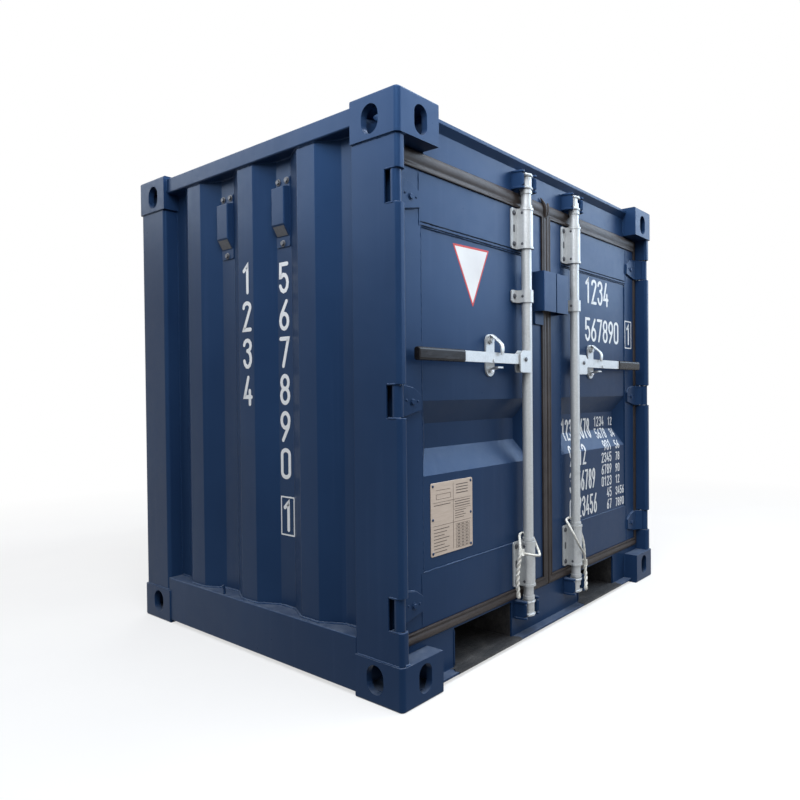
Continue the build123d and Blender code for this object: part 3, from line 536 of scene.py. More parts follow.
def tie_rope(line, knot_place):
    """The loop as one cord and, below the knot, the tail as two cords laid together."""
    first = min(range(len(line)), key=lambda k: (line[k] - knot_place).length)
    shape = Shape()
    cord_skin(shape, line[:first + 1], ROPE_D / 2 / (1 + RIDGE))
    tail = line[first - 2:]
    for cord in range(TAIL_CORDS):
        middles = []
        for (point, side, other), travelled in zip(line_frames(tail), travel(tail)):
            angle = TURN * (travelled / TAIL_LAY + cord / TAIL_CORDS)
            middles.append(point + (side * math.cos(angle) + other * math.sin(angle)) * TAIL_ORBIT)
        cord_skin(shape, middles, TAIL_CORD_R)
    return shape


def tube(shape, line, radii, count):
    """A round skin along a line, with a radius for each of its points."""
    shape.rings([circle(point, side, other, radius, count)
                 for (point, side, other), radius in zip(line_frames(line), radii)])


def whipping(shape, start, end, radius, turns, thread):
    """Thread wound tightly round a rope, in one coil."""
    side, other = across((end - start).normalized())
    steps = turns * COIL_STEPS
    coil = []
    for k in range(steps + 1):
        angle = TURN * k / COIL_STEPS
        coil.append(start.lerp(end, k / steps) + (side * math.cos(angle) + other * math.sin(angle)) * radius)
    tube(shape, coil, [thread] * len(coil), 6)


def frayed_end(shape, place, direction, seed):
    """Slightly spread fibres where the rope was cut."""
    draw = random.Random(seed)
    direction = direction.normalized()
    side, other = across(direction)
    for _ in range(FIBRES):
        angle = draw.uniform(0, TURN)
        out = side * math.cos(angle) + other * math.sin(angle)
        root = place + out * ROPE_D * draw.uniform(*FIBRE_ROOTS) - direction * FIBRE_DEPTH
        tip = root + direction * draw.uniform(*FIBRE_REACH) + out * draw.uniform(*FIBRE_SPREAD)
        length = (tip - root).length
        thick, middle, thin = FIBRE_R
        shape.turned([(thick, 0.0), (middle, 0.5 * length), (thin, length)], root, tip - root, 5)


def make_ropes():
    for side, points, tie, seed in ROPES:
        line = rope_line(points)
        hanging = Vector(points[tie]) * MM
        rope = tie_rope(line, hanging).piece(f"{side}_rope", f"{side}_door", ROPE, "rope_fibre", 60.0)
        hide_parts(f"{side}_tie_rope")
        knot = Shape()
        middle = (hanging + Vector(points[0]) * MM) / 2
        down = (Vector(points[tie + 1]) - Vector(points[tie - 1])).normalized() * KNOT_HALF
        whipping(knot, middle - down, middle + down, ROPE_D * 0.95, KNOT_TURNS, KNOT_THREAD)
        end = line[-1]
        frayed_end(knot, end, end - line[-3], seed)
        before = end - (end - line[-6]).normalized() * END_L
        whipping(knot, before, end, ROPE_D * 0.66, END_TURNS, END_THREAD)
        tied = knot.piece(f"{side}_rope_whipping", f"{side}_door", ROPE, "rope_fibre", 60.0)


# Finish of the solid pieces

FOLDED_SHEETS = ("left_wall", "right_wall", "rear_wall", "roof_panel")
PRESSED_SHEETS = ("left_door_panel", "right_door_panel")
FLAT_SIDED = ("left_door_frame", "right_door_frame", "vent_covers", "door_header", "door_sill",
              "fork_pockets", "cross_members", "floor", "left_door_gasket", "right_door_gasket")
CRISP_PARTS = ("lock_bar", "bar_brackets", "handle", "handle_retainer")
SMALL_WORDS = ("grip", "hinges", "pins", "hooks")
NODE_MATERIAL = {"cross_members": TAR, "hinge_pins": BRIGHT}
FOLD_RADIUS = 5.0 * MM
PRESSED_RADIUS = 4.0 * MM
CASTING_RADIUS = 5.0 * MM
KEEPER_RADIUS = 1.5 * MM
EDGE_RADIUS = 1.3 * MM
RIB_RADIUS = 1.2 * MM
SMALL_EDGE_RADIUS = 0.7 * MM
CRISP_RADIUS = 0.55 * MM
CRISP_ANGLE = 30.0
FLAT_ANGLE = 14.0
ROUND_ANGLE = 33.0


def is_crisp(name):
    return name.split("_", 1)[-1] in CRISP_PARTS


def edge_finish(name):
    """How wide a node's edges are rounded, in how many steps, and from what angle on."""
    if name in FOLDED_SHEETS:
        return FOLD_RADIUS, 3, FLAT_ANGLE
    if name in PRESSED_SHEETS:
        return PRESSED_RADIUS, 3, FLAT_ANGLE
    if name == "cam_keepers":
        return KEEPER_RADIUS, 2, FLAT_ANGLE
    if name in FLAT_SIDED:
        return EDGE_RADIUS, 2, FLAT_ANGLE
    if "casting" in name:
        return CASTING_RADIUS, 3, ROUND_ANGLE
    if is_crisp(name):
        return CRISP_RADIUS, 1, ROUND_ANGLE
    if any(word in name for word in SMALL_WORDS):
        return SMALL_EDGE_RADIUS, 2, ROUND_ANGLE
    return EDGE_RADIUS, 2, ROUND_ANGLE


def dress_nodes():
    """Materials and softened edges for the solid pieces."""
    slots = {part["node"]: part["material_slot"] for part in frame["record"]["subparts"]}
    for name, node in frame["nodes"].items():
        node.data.materials.clear()
        node.data.materials.append(NODE_MATERIAL.get(name, SLOT_MATERIAL[slots[name]]))
        if name.endswith("tie_rope"):
            continue
        width, segments, angle = edge_finish(name)
        weld = node.modifiers.new("weld", "WELD")
        weld.merge_threshold = 1e-5
        bevel = add_bevel(node, width, segments)
        bevel.limit_method = "ANGLE"
        bevel.angle_limit = math.radians(angle)
        bevel.use_clamp_overlap = True
        if is_crisp(name):
            split = node.modifiers.new("split", "EDGE_SPLIT")
            split.split_angle = math.radians(CRISP_ANGLE)
        smooth = node.modifiers.new("normals", "WEIGHTED_NORMAL")
        smooth.keep_sharp = False


# Places of the solid pieces that carry the dressing

CREST_X = -785.0
HOLLOW_X = -749.0
DOOR_FACE_Y = -611.0
PANEL_FACE_Y = -608.0
TROUGH_DEPTH = 36.0
TROUGH_MOUTH = (594.0, 806.0)
TROUGH_FLOOR = (668.0, 740.0)
TROUGH_END_X = (655.0, 605.0)
HINGE_Z = (250.0, 807.0, 1364.0)
BAR_X = 163.0
BAR_Y = -639.0
RETAINER_X = 337.0


def side_wall_place(x):
    """Marks on the left wall: u runs to the door, v is up."""
    return lambda u, v, out: Vector((x * MM - out, -u * MM, v * MM))


def door_place(face_y):
    """Marks on the flat parts of a door: u runs across, v is up."""
    return lambda u, v, out: Vector((u * MM, face_y * MM - out, v * MM))


def trough_place(u, v, out):
    """Marks on the right panel, which follow its trough."""
    low, high = TROUGH_MOUTH
    floor_low, floor_high = TROUGH_FLOOR
    share = 1.0
    if v <= low or v >= high:
        share = 0.0
    elif v < floor_low:
        share = (v - low) / (floor_low - low)
    elif v > floor_high:
        share = (high - v) / (high - floor_high)
    end_mouth, end_floor = TROUGH_END_X
    share = min(share, max(0.0, (end_mouth - u) / (end_mouth - end_floor)))
    return Vector((u * MM, (PANEL_FACE_Y + TROUGH_DEPTH * share) * MM - out, v * MM))


# Figures drawn as round-ended strokes, in a box one wide and three high

def arc(cx, cy, rx, ry, start, end, count=9):
    angles = [math.radians(start + (end - start) * k / count) for k in range(count + 1)]
    return [(cx + rx * math.cos(a), cy + ry * math.sin(a)) for a in angles]


R = 0.5
FIGURES = {
    "0": [arc(R, 2.5, R, R, 0, 180) + arc(R, R, R, R, 180, 360) + [(1.0, 2.5)]],
    "1": [[(0.1, 2.45), (0.62, 3.0), (0.62, 0.0)]],
    "2": [arc(R, 2.5, R, R, 180, -20) + [(0.02, 0.0), (1.0, 0.0)]],
    "3": [arc(R, 2.4, R, 0.6, 170, -90), arc(R, 0.9, R, 0.9, 90, -165)],
    "4": [[(0.58, 3.0), (0.0, 0.8), (1.02, 0.8)], [(0.78, 1.5), (0.78, 0.0)]],
    "5": [[(0.95, 3.0), (0.08, 3.0), (0.05, 1.62)] + arc(R, 0.92, R, 0.92, 130, -160)],
    "6": [[(0.82, 3.0), (0.12, 1.55), (0.03, 1.1)], arc(R, 0.82, R, 0.82, 155, 515, 16)],
    "7": [[(0.0, 3.0), (1.0, 3.0), (0.32, 0.0)]],
    "8": [arc(R, 2.28, 0.46, 0.72, -90, 270, 16), arc(R, 0.80, R, 0.80, 90, 450, 16)],
    "9": [[(0.18, 0.0), (0.88, 1.45), (0.97, 1.9)], arc(R, 2.18, R, 0.82, -25, 335, 16)],
}
FIGURE_WIDTH = 1.0
FIGURE_HEIGHT = 3.0
PAINT_THICKNESS = 0.35 * MM
PAINT_ROOT = -0.1 * MM
CAP_ANGLES = (28, 54, 76, 90)
SHARPEST_JOINT = 0.45


def stroke(shape, line, width, place, lift=0.0):
    """A painted stroke along a line of (u, v) places, with round ends."""
    fine = resample([(*p, 0.0) for p in line], max(width * 0.5, 3.0))
    left = []
    right = []
    closed = (fine[0] - fine[-1]).length < 1e-4
    for k, point in enumerate(fine):
        before = fine[k - 1] if k else (fine[-2] if closed else point)
        after = fine[k + 1] if k < len(fine) - 1 else (fine[1] if closed else point)
        first = (point - before).normalized() if (point - before).length else (after - point).normalized()
        second = (after - point).normalized() if (after - point).length else first
        ahead = (first + second).normalized()
        aside = Vector((-ahead.y, ahead.x, 0.0))
        reach = width / 2 / max(SHARPEST_JOINT, math.sqrt(max(0.0, (1 + first.dot(second)) / 2)))
        left.append(point + aside * reach)
        right.append(point - aside * reach)
    if not closed:
        left, right = rounded(fine, left, right, width)
    count = len(left)
    faces = []
    for k in range(count - 1):
        faces.append((k, k + 1, count + k + 1, count + k))
        faces.append((2 * count + k, 3 * count + k, 3 * count + k + 1, 2 * count + k + 1))
        faces.append((k, 2 * count + k, 2 * count + k + 1, k + 1))
        faces.append((count + k, count + k + 1, 3 * count + k + 1, 3 * count + k))
    levels = (PAINT_THICKNESS + lift, PAINT_ROOT)
    shape.add([place(p.x, p.y, out) for out in levels for p in left + right], faces)


def rounded(fine, left, right, width):
    """Adds a half round at both ends of a stroke."""
    for end, inner in ((0, 1), (-1, -2)):
        out = (fine[end] - fine[inner]).normalized()
        aside = (left[end] - right[end]).normalized()
        caps = []
        for angle in CAP_ANGLES:
            half = max(math.cos(math.radians(angle)) * width / 2, width * 0.02)
            middle = fine[end] + out * (math.sin(math.radians(angle)) * width / 2)
            caps.append((middle + aside * half, middle - aside * half))
        if end == 0:
            caps.reverse()
            left = [c[0] for c in caps] + left
            right = [c[1] for c in caps] + right
        else:
            left = left + [c[0] for c in caps]
            right = right + [c[1] for c in caps]
    return left, right


def figure(shape, digit, u, v, width, height, weight, place):
    """One digit in a box with its low left corner at (u, v)."""
    scale_u = (width - weight) / FIGURE_WIDTH
    scale_v = (height - weight) / FIGURE_HEIGHT
    for number, line in enumerate(FIGURES[digit]):
        moved = [(u + weight / 2 + a * scale_u, v + weight / 2 + b * scale_v) for a, b in line]
        stroke(shape, moved, weight, place, number * 0.05 * MM)


def row(shape, digits, u, v, pitch, width, height, weight, place):
    for k, digit in enumerate(digits):
        figure(shape, digit, u + k * pitch, v, width, height, weight, place)


def box_outline(shape, u0, u1, v0, v1, weight, place):
    corners = [(u0, v0), (u1, v0), (u1, v1), (u0, v1), (u0, v0)]
    for number, (a, b) in enumerate(zip(corners, corners[1:])):
        stroke(shape, [a, b], weight, place, 0.03 * MM * number)


# Places of the painted figures

# Digits, left side, low side of the first, pitch, width and the wall's face
SIDE_COLUMNS = (("1234", -44, 1146, 118.7, 48, CREST_X), ("567890", 98, 1140, 115.6, 50, HOLLOW_X),
                ("1", 106, 398, 0.0, 46, HOLLOW_X))
SIDE_FIGURE = (97, 12.5)
SIDE_FRAME = (98, 161, 388, 506)
# Digits, left side, low side, pitch, width, height and weight
DOOR_ROWS = (("1234", 303, 1176, 52.5, 45, 100, 11.5), ("567890", 301, 1026, 51.0, 44, 94, 11.0))
LAST_FIGURE = ("1", 672, 1028, 38, 90, 11.0)
DOOR_FRAME = (659, 721, 1015, 1131)
FRAME_WEIGHT = 4.5
TABLE_LABELS = (("12345678", 29.0, 639), ("9012", 35.0, 541), ("3456789", 30.5, 440), ("0123456", 32.5, 338))
TABLE_NUMBERS = (("1234", "12"), ("5678", "34"), ("901", "56"), ("2345", "78"), ("6789", "90"),
                 ("0123", "12"), ("45", "3456"), ("67", "7890"))
TABLE_LEFT = 172
LABEL_FILL = 0.82
LABEL_FIGURE = (80, 8.5)
NUMBERS_RIGHT = 532
NUMBER_PITCH = 23.5
NUMBER_FIGURE = (19, 41, 5.2)
UNITS_LEFT = 566
UNIT_PITCH = 21.0
UNIT_FIGURE = (17, 36, 5.0)
TABLE_TOP_ROW = 681
TABLE_PITCH = 49.3


def side_markings():
    shape = Shape()
    for digits, u, top, pitch, width, x in SIDE_COLUMNS:
        for k, digit in enumerate(digits):
            figure(shape, digit, u, top - k * pitch, width, *SIDE_FIGURE, side_wall_place(x))
    box_outline(shape, *SIDE_FRAME, FRAME_WEIGHT, side_wall_place(HOLLOW_X))
    shape.piece("side_figures", "container_frame", MARKING, "navy_paint")


def door_markings():
    shape = Shape()
    for line in DOOR_ROWS:
        row(shape, *line, door_place(PANEL_FACE_Y))
    figure(shape, *LAST_FIGURE, door_place(DOOR_FACE_Y))
    box_outline(shape, *DOOR_FRAME, FRAME_WEIGHT, door_place(DOOR_FACE_Y))
    for digits, pitch, low in TABLE_LABELS:
        row(shape, digits, TABLE_LEFT, low, pitch, pitch * LABEL_FILL, *LABEL_FIGURE, trough_place)
    for k, (digits, units) in enumerate(TABLE_NUMBERS):
        low = TABLE_TOP_ROW - k * TABLE_PITCH
        left = NUMBERS_RIGHT - len(digits) * NUMBER_PITCH
        row(shape, digits, left, low, NUMBER_PITCH, *NUMBER_FIGURE, trough_place)
        row(shape, units, UNITS_LEFT, low, UNIT_PITCH, *UNIT_FIGURE, trough_place)
    shape.piece("door_figures", "right_door", MARKING, "navy_paint")


# Flat outlines with softened corners

def soft_corners(corners, size):
    """The outline with each corner cut by three short steps."""
    made = []
    for k, corner in enumerate(corners):
        here = Vector(corner)
        before = (Vector(corners[k - 1]) - here).normalized() * size
        after = (Vector(corners[(k + 1) % len(corners)]) - here).normalized() * size
        for share in (0.0, 0.33, 0.67, 1.0):
            a = here + before * (1 - share)
            b = here + after * share
            made.append(tuple(a.lerp(b, share)))
    return made


def soft_box(u0, u1, v0, v1, size):
    return soft_corners([(u0, v0), (u1, v0), (u1, v1), (u0, v1)], size)


def shrunk(outline, amount):
    """The outline with its sides moved in by an amount."""
    middle = [(min(p[k] for p in outline) + max(p[k] for p in outline)) / 2 for k in (0, 1)]
    return [tuple(c - math.copysign(amount, c - m) for c, m in zip(p, middle)) for p in outline]


# Sticker on the left door

STICKER_CORNERS = ((-513, 1269), (-334, 1274), (-418, 1089))
STICKER_INNER = 0.90
FILM_T = 0.5


def flat_film(name, corners, low, high, material):
    """A thin closed film over a convex outline on the left panel."""
    place = door_place(PANEL_FACE_Y)
    shape = Shape()
    shape.rings([[place(u, v, out * MM) for u, v in corners] for out in (low, high)])
    shape.piece(name, "left_door", material, "navy_paint")


def make_sticker():
    centre = [sum(c[k] for c in STICKER_CORNERS) / 3 for k in (0, 1)]
    inner = [tuple(m + (c - m) * STICKER_INNER for c, m in zip(p, centre)) for p in STICKER_CORNERS]
    flat_film("warning_film_border", soft_corners(STICKER_CORNERS, 4.0), -0.1, FILM_T, STICKER_RED)
    flat_film("warning_film_face", soft_corners(inner, 2.0), 0.0, FILM_T + 0.15, STICKER_WHITE)


# Data plate on the left door: its ruled lines are placed from the plate's low left corner

PLATE_X = (-622.0, -430.0)
PLATE_Z = (360.0, 570.0)
PLATE_T = 2.0
PLATE_CHAMFER = 0.6
PLATE_RIVET_INSET = 9.0
PLATE_RULES = ((10, 182, 153, 153), (100, 100, 202, 8), (10, 182, 86, 86), (100, 182, 124, 124),
               (24, 86, 188, 188))
PLATE_BOX = (24, 88, 162, 176)
# Left, right, top, pitch, count, weight and how much shorter every second line is
PRINT_GROUPS = ((114, 168, 196, 8.5, 4, 2.2, 0), (108, 178, 146, 7.5, 3, 1.8, 0),
                (108, 158, 118, 7.0, 4, 1.6, 9), (14, 86, 145, 0.0, 1, 1.8, 0))
TABLE_PRINT_TOP = 76
TABLE_PRINT_PITCH = 9.3
TABLE_PRINT_ROWS = 8
TABLE_BOX_U = (112, 176)
TABLE_DASH_U = (120, 130)
TABLE_DASH_PITCH = 19


def make_plate():
    """Beige sheet with six rivets and generic ruled lines."""
    x0, x1 = PLATE_X
    z0, z1 = PLATE_Z
    place = door_place(PANEL_FACE_Y)
    outline = soft_box(x0, x1, z0, z1, 6.0)
    steps = ((0.0, 0.0), (0.0, PLATE_T - PLATE_CHAMFER), (PLATE_CHAMFER, PLATE_T))
    plate = Shape()
    plate.rings([[place(u, v, out * MM) for u, v in shrunk(outline, inset)] for inset, out in steps])
    plate.piece("plate_sheet", "left_door", PLATE, "galvanised_steel")

    rivets = Shape()
    for u in (x0 + PLATE_RIVET_INSET, x1 - PLATE_RIVET_INSET):
        for v in (z0 + PLATE_RIVET_INSET, (z0 + z1) / 2, z1 - PLATE_RIVET_INSET):
            rivet(rivets, place(u, v, PLATE_T * MM), FORWARD, 4.2 * MM, 2.4 * MM)
    rivets.piece("plate_rivets", "left_door", NAVY, "navy_paint")

    print_plate(x0, z0).piece("plate_print", "left_door", PRINT_INK, "navy_paint")


def print_plate(x0, z0):
    ink = Shape()
    raised = door_place(PANEL_FACE_Y - PLATE_T)
    for u0, u1, v0, v1 in PLATE_RULES:
        stroke(ink, [(x0 + u0, z0 + v0), (x0 + u1, z0 + v1)], 0.9, raised)
    u0, u1, v0, v1 = PLATE_BOX
    box_outline(ink, x0 + u0, x0 + u1, z0 + v0, z0 + v1, 0.8, raised)
    for u0, u1, top, pitch, count, weight, ragged in PRINT_GROUPS:
        for k in range(count):
            v = z0 + top - k * pitch
            stroke(ink, [(x0 + u0, v), (x0 + u1 - ragged * (k % 2), v)], weight, raised)
    for k in range(TABLE_PRINT_ROWS):
        v = z0 + TABLE_PRINT_TOP - k * TABLE_PRINT_PITCH
        stroke(ink, [(x0 + 13, v), (x0 + 80 - 11 * (k % 3), v)], 1.9, raised)
        box_outline(ink, x0 + TABLE_BOX_U[0], x0 + TABLE_BOX_U[1], v - 3, v + 3, 0.6, raised)
        for j in range(3):
            u0, u1 = (x0 + u + j * TABLE_DASH_PITCH for u in TABLE_DASH_U)
            stroke(ink, [(u0, v), (u1, v)], 1.6, raised, 0.2 * MM)
    return ink


# Bolts and rivets

STRAP_FACE_Y = DOOR_FACE_Y - 8.0
STRAP_BOLT_X = 703.0
STRAP_RIVETS = ((726.0, 2.0), (681.0, -2.0))
BRACKET_FACE_Y = DOOR_FACE_Y - 5.0
BRACKET_SPANS = ((179.0, 329.0), (1125.0, 1166.0), (1303.0, 1437.0))
BRACKET_BOLT_X = 39.0
BRACKET_BOLT_INSET = 16.0
BRACKET_R = 22.5
SLOT_Z = (254.0, 1370.0)
SLOT_R = 5
SLOT_HALF = 8
RETAINER_BOLT = (DOOR_FACE_Y - 9, 898.0)
HUB_PIN = (199.0, -659.5, 935.0)
VENT_Y = (24.0 - 151.5, 24.0 + 151.5)
VENT_BOLTS = ((-23, 1484), (23, 1484), (0, 1293))
VENT_MOUTH = ((5, 1316.3), (21, 1343.0))
VENT_MOUTH_HALF_W = 26


def painted_slot_shade(shape, x, z):
    """The slot in a bracket plate as a thin dark film on it: painted shade where the hole is."""
    angles = [TURN * (i + 0.5) / 16 for i in range(16)]
    outline = [(SLOT_R * math.cos(a), math.copysign(SLOT_HALF, math.sin(a)) + SLOT_R * math.sin(a))
               for a in angles]
    shape.rings([[mm(x + u, BRACKET_FACE_Y + out, z + v) for u, v in outline] for out in (0.2, -0.4)])


def hinge_rivets(side, sx):
    shape = Shape()
    for z in HINGE_Z:
        hex_bolt(shape, mm(sx * STRAP_BOLT_X, STRAP_FACE_Y, z - 4.0), FORWARD, 7.5 * MM, 5.0 * MM, 0.2)
        for x, dz in STRAP_RIVETS:
            rivet(shape, mm(sx * x, STRAP_FACE_Y, z + dz), FORWARD, 3.6 * MM, 2.4 * MM)
    shape.piece(f"{side}_hinge_rivets", f"{side}_door", NAVY, "navy_paint")


def bracket_bolts(side, sx):
    """Bolts, side rivets, and dark films painted as the shade in the slots of the lock bar's bearings."""
    shape = Shape()
    for z0, z1 in BRACKET_SPANS:
        tall = z1 - z0 > 100
        for z in (z0 + BRACKET_BOLT_INSET, z1 - BRACKET_BOLT_INSET) if tall else ((z0 + z1) / 2,):
            for dx in (-1, 1):
                bolt = mm(sx * (BAR_X + dx * BRACKET_BOLT_X), BRACKET_FACE_Y, z)
                hex_bolt(shape, bolt, FORWARD, 6.5 * MM, 5.0 * MM, 0.3 + 0.2 * dx)
                tube_side = mm(sx * (BAR_X + dx * BRACKET_R), BAR_Y + 2, z)
                rivet(shape, tube_side, (dx * sx, 0, 0), 5.0 * MM, 1.6 * MM)
    # Painted shade: dark films stand in for the shade inside the slots
    for z in SLOT_Z:
        for dx in (-1, 1):
            painted_slot_shade(shape, sx * (BAR_X + dx * BRACKET_BOLT_X), z)
    shape.piece(f"{side}_bracket_bolts", f"{side}_door", DARK_STEEL_AND_SHADE, "galvanised_steel")


def single_bolts(side, sx):
    """The retainer's bolt and the head of the handle's pin."""
    retainer = Shape()
    hex_bolt(retainer, mm(sx * RETAINER_X, *RETAINER_BOLT), FORWARD, 7.0 * MM, 4.5 * MM, 0.4)
    retainer.piece(f"{side}_retainer_bolt", f"{side}_door", BRIGHT, "galvanised_steel")
    hub = Shape()
    rivet(hub, mm(sx * HUB_PIN[0], *HUB_PIN[1:]), FORWARD, 7.5 * MM, 3.0 * MM)
    hub.piece(f"{side}_hub_pin_head", f"{side}_lock_bar", DARK_STEEL_AND_SHADE, "galvanised_steel")


def painted_vent_shade(shape, sx, y):
    """The mouth under a vent cover as a thin dark film on its slanted end: painted shade where the opening
    is.
    """
    (low_x, low_z), (high_x, high_z) = VENT_MOUTH
    near, far = y - VENT_MOUTH_HALF_W, y + VENT_MOUTH_HALF_W
    corners = ((low_x, low_z, near), (low_x, low_z, far), (high_x, high_z, far), (high_x, high_z, near))
    shape.rings([[mm(sx * (-HOLLOW_X + x + lift * 0.86), end, z - lift * 0.51) for x, z, end in corners]
                 for lift in (-0.3, 0.6)])


def vent_dressing(side, sx):
    vents = Shape()
    vent_shades = Shape()
    for y in VENT_Y:
        for dy, z in VENT_BOLTS:
            hex_bolt(vents, mm(sx * (-HOLLOW_X + 3), y + dy * 0.9, z), (sx, 0, 0), 8.0 * MM, 7.0 * MM, 0.5)
        # Painted shade: a dark film stands in for the shade in the open mouth
        painted_vent_shade(vent_shades, sx, y)
    vents.piece(f"{side}_vent_bolts", "container_frame", DARK_STEEL_AND_SHADE, "navy_paint")
    vent_shades.piece(f"{side}_vent_painted_shade", "container_frame", DARK_STEEL_AND_SHADE, "navy_paint")


def make_fasteners():
    for side, sx in SIDES:
        hinge_rivets(side, sx)
        bracket_bolts(side, sx)
        single_bolts(side, sx)
    for side, sx in SIDES:
        vent_dressing(side, sx)


# Seal lips, the soft folds in front of the door seals

LIP_INNER_X = (28.0, 740.0)
LIP_INNER_Z = (172.0, 1443.0)
LIP_TOP_W = 48.2
LIP_BOTTOM_W = 32.6
LIP_SEAM_W = 27.2
LIP_BASE_Y = -613.4
LIP_PROFILE = ((0.0, 0.0), (0.0, 3.4), (0.05, 4.4), (0.13, 4.4), (0.18, 3.2), (0.24, 1.4), (0.31, 1.2),
               (0.38, 2.4), (0.50, 4.3), (0.64, 5.2), (0.78, 5.0), (0.90, 3.7), (0.97, 1.8), (1.0, 0.0))
TONGUE_Y = -614.5
TONGUES = {"left": ((-8, 1444, 5.0), (-9, 1466, 8.0), (-13, 1482, 8.5), (-20, 1494, 6.0), (-29, 1503, 3.2),
                    (-36, 1508, 1.0)),
           "right": ((4, 1452, 4.5), (7, 1470, 7.0), (10, 1484, 7.0), (12, 1494, 4.5), (12, 1500, 1.5))}


def make_seal_lips():
    """A bulge, a groove and a narrow rib along the top, seam and bottom of each leaf."""
    x_in, x_out = LIP_INNER_X
    z_low, z_high = LIP_INNER_Z
    path = ((x_out, z_low, 0.0, -LIP_BOTTOM_W), (x_in, z_low, -LIP_SEAM_W, -LIP_BOTTOM_W),
            (x_in, z_high, -LIP_SEAM_W, LIP_TOP_W), (x_out, z_high, 0.0, LIP_TOP_W))
    for side, sx in SIDES:
        lip = Shape()
        lip.rings([[mm(sx * (x + t * dx), LIP_BASE_Y - out, z + t * dz) for t, out in LIP_PROFILE]
                   for x, z, dx, dz in path])
        tapered_tube(lip, [(mm(x, TONGUE_Y - r * 0.5, z), r * MM) for x, z, r in TONGUES[side]])
        lip.piece(f"{side}_seal_lips", f"{side}_door", RUBBER, "seal_rubber", 50.0)


def tapered_tube(shape, line):
    """A tube along a line of (place, radius), smooth between them."""
    fine = []
    for (a, ra), (b, rb) in zip(line, line[1:]):
        fine += [(a.lerp(b, k / 4), ra + (rb - ra) * k / 4) for k in range(4)]
    fine.append(line[-1])
    tube(shape, [p for p, _ in fine], [r for _, r in fine], 12)


# Beads round the door panels and hinge straps, and painted shadow lines in the gaps above the panels

PANEL_X = (104.0, 655.0)
PANEL_Z = (325.0, 1290.0)
PANEL_BEAD_Y = -609.3
STRAP_BEAD_Y = -612.0
SHADOW_GAP_Y = -610.8
STILE_JOINT_X = 663.0
SHADOW_GAP_Z = (1293.5, 1303.5)
STRAP_OUTLINE = ((740, 41), (733, 42), (695, 34.5), (665, 14), (665, -26), (735, -42.5))
PANEL_BEAD_R = 2.5 * MM
STILE_BEAD_R = 1.7 * MM
STRAP_BEAD_R = 2.6 * MM
SHADOW_GAP_R = 2.1 * MM
PANEL_SEEDS = {"left": 301, "right": 302}


def make_panel_beads():
    (x0, x1), (z0, z1) = PANEL_X, PANEL_Z
    for side, sx in SIDES:
        seed = PANEL_SEEDS[side]
        bead = Shape()
        line = [mm(sx * x, PANEL_BEAD_Y, z) for x, z in ((x0, z0), (x1, z0), (x1, z1), (x0, z1), (x0, z0))]
        weld_bead(bead, line, PANEL_BEAD_R, seed, LONG_BEAD_STEP)
        for low, high in ((LIP_INNER_Z[0] + 4, z0), (z1, LIP_INNER_Z[1] - 3)):
            for times, x in ((1, x0), (2, STILE_JOINT_X)):
                upright_bead(bead, sx * x, DOOR_FACE_Y, low, high, STILE_BEAD_R, seed + times * int(low),
                             LONG_BEAD_STEP)
        for z in HINGE_Z:
            strap = [mm(sx * x, STRAP_BEAD_Y, z + dz) for x, dz in STRAP_OUTLINE]
            weld_bead(bead, strap, STRAP_BEAD_R, seed + int(z))
        bead.piece(f"{side}_panel_bead", f"{side}_door", NAVY, "navy_paint", 70.0)
        # Painted shadow: two blue-black lines stand in for the shade in the gaps under the top rail
        gap_lines = Shape()
        for z in SHADOW_GAP_Z:
            line = [mm(sx * x0, SHADOW_GAP_Y, z), mm(sx * (x1 + 3), SHADOW_GAP_Y, z)]
            weld_bead(gap_lines, line, SHADOW_GAP_R, seed + 3 * int(z), LONG_BEAD_STEP)
        gap_lines.piece(f"{side}_panel_painted_shadow_gaps", f"{side}_door", SHADOW_GAP_PAINT, "navy_paint", 70.0)


# Swinging catches over the handles: y, z and half width along the strap

CATCH_Z = 992.0
CATCH_EYE = ((6.4, -615.2), (12.5, -615.2), (12.5, -620.2), (6.4, -620.2))
CATCH_EYE_SIDES = 28
CATCH_LINE = ((-617.8, 984.0, 11.0), (-617.8, 1000.0, 11.0), (-618.8, 1005.0, 11.0), (-622.5, 1007.5, 10.5),
              (-628.0, 1003.5, 10.0), (-641.0, 993.0, 9.5), (-652.0, 984.0, 9.0), (-658.0, 977.5, 9.0),
              (-660.8, 969.0, 9.0), (-661.2, 958.0, 8.5), (-660.4, 949.5, 7.0), (-659.2, 944.5, 4.0))
CATCH_HALF_T = 2.3
CATCH_SECTION = ((-1, -0.5), (-0.86, -1), (0.86, -1), (1, -0.5), (1, 0.5), (0.86, 1), (-0.86, 1), (-1, 0.5))


def make_catches():
    """An eye round the retainer's pin and a strap that curves forward over the handle."""
    points = [Vector((0.0, y, z)) for y, z, _ in CATCH_LINE]
    for side, sx in SIDES:
        middle_x = sx * RETAINER_X
        hook = Shape()
        angles = [TURN * i / CATCH_EYE_SIDES for i in range(CATCH_EYE_SIDES)]
        hook.rings([[mm(middle_x + r * math.cos(a), y, CATCH_Z + r * math.sin(a)) for r, y in CATCH_EYE]
                    for a in angles], closed=True)
        rings = []
        for k, (_, _, half) in enumerate(CATCH_LINE[1:], 1):
            ahead = heading(points, k)
            out = Vector((0.0, ahead.z, -ahead.y))
            section = [(u, points[k] + out * v * CATCH_HALF_T) for u, v in CATCH_SECTION]
            rings.append([mm(middle_x + u * half, p.y, p.z) for u, p in section])
        hook.rings(rings)
        piece = hook.piece(f"{side}_catch_hook", f"{side}_catch", ZINC, "galvanised_steel", 40.0)
        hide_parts(f"{side}_handle_catch")


# Lugs on the cams and ribs on their keepers

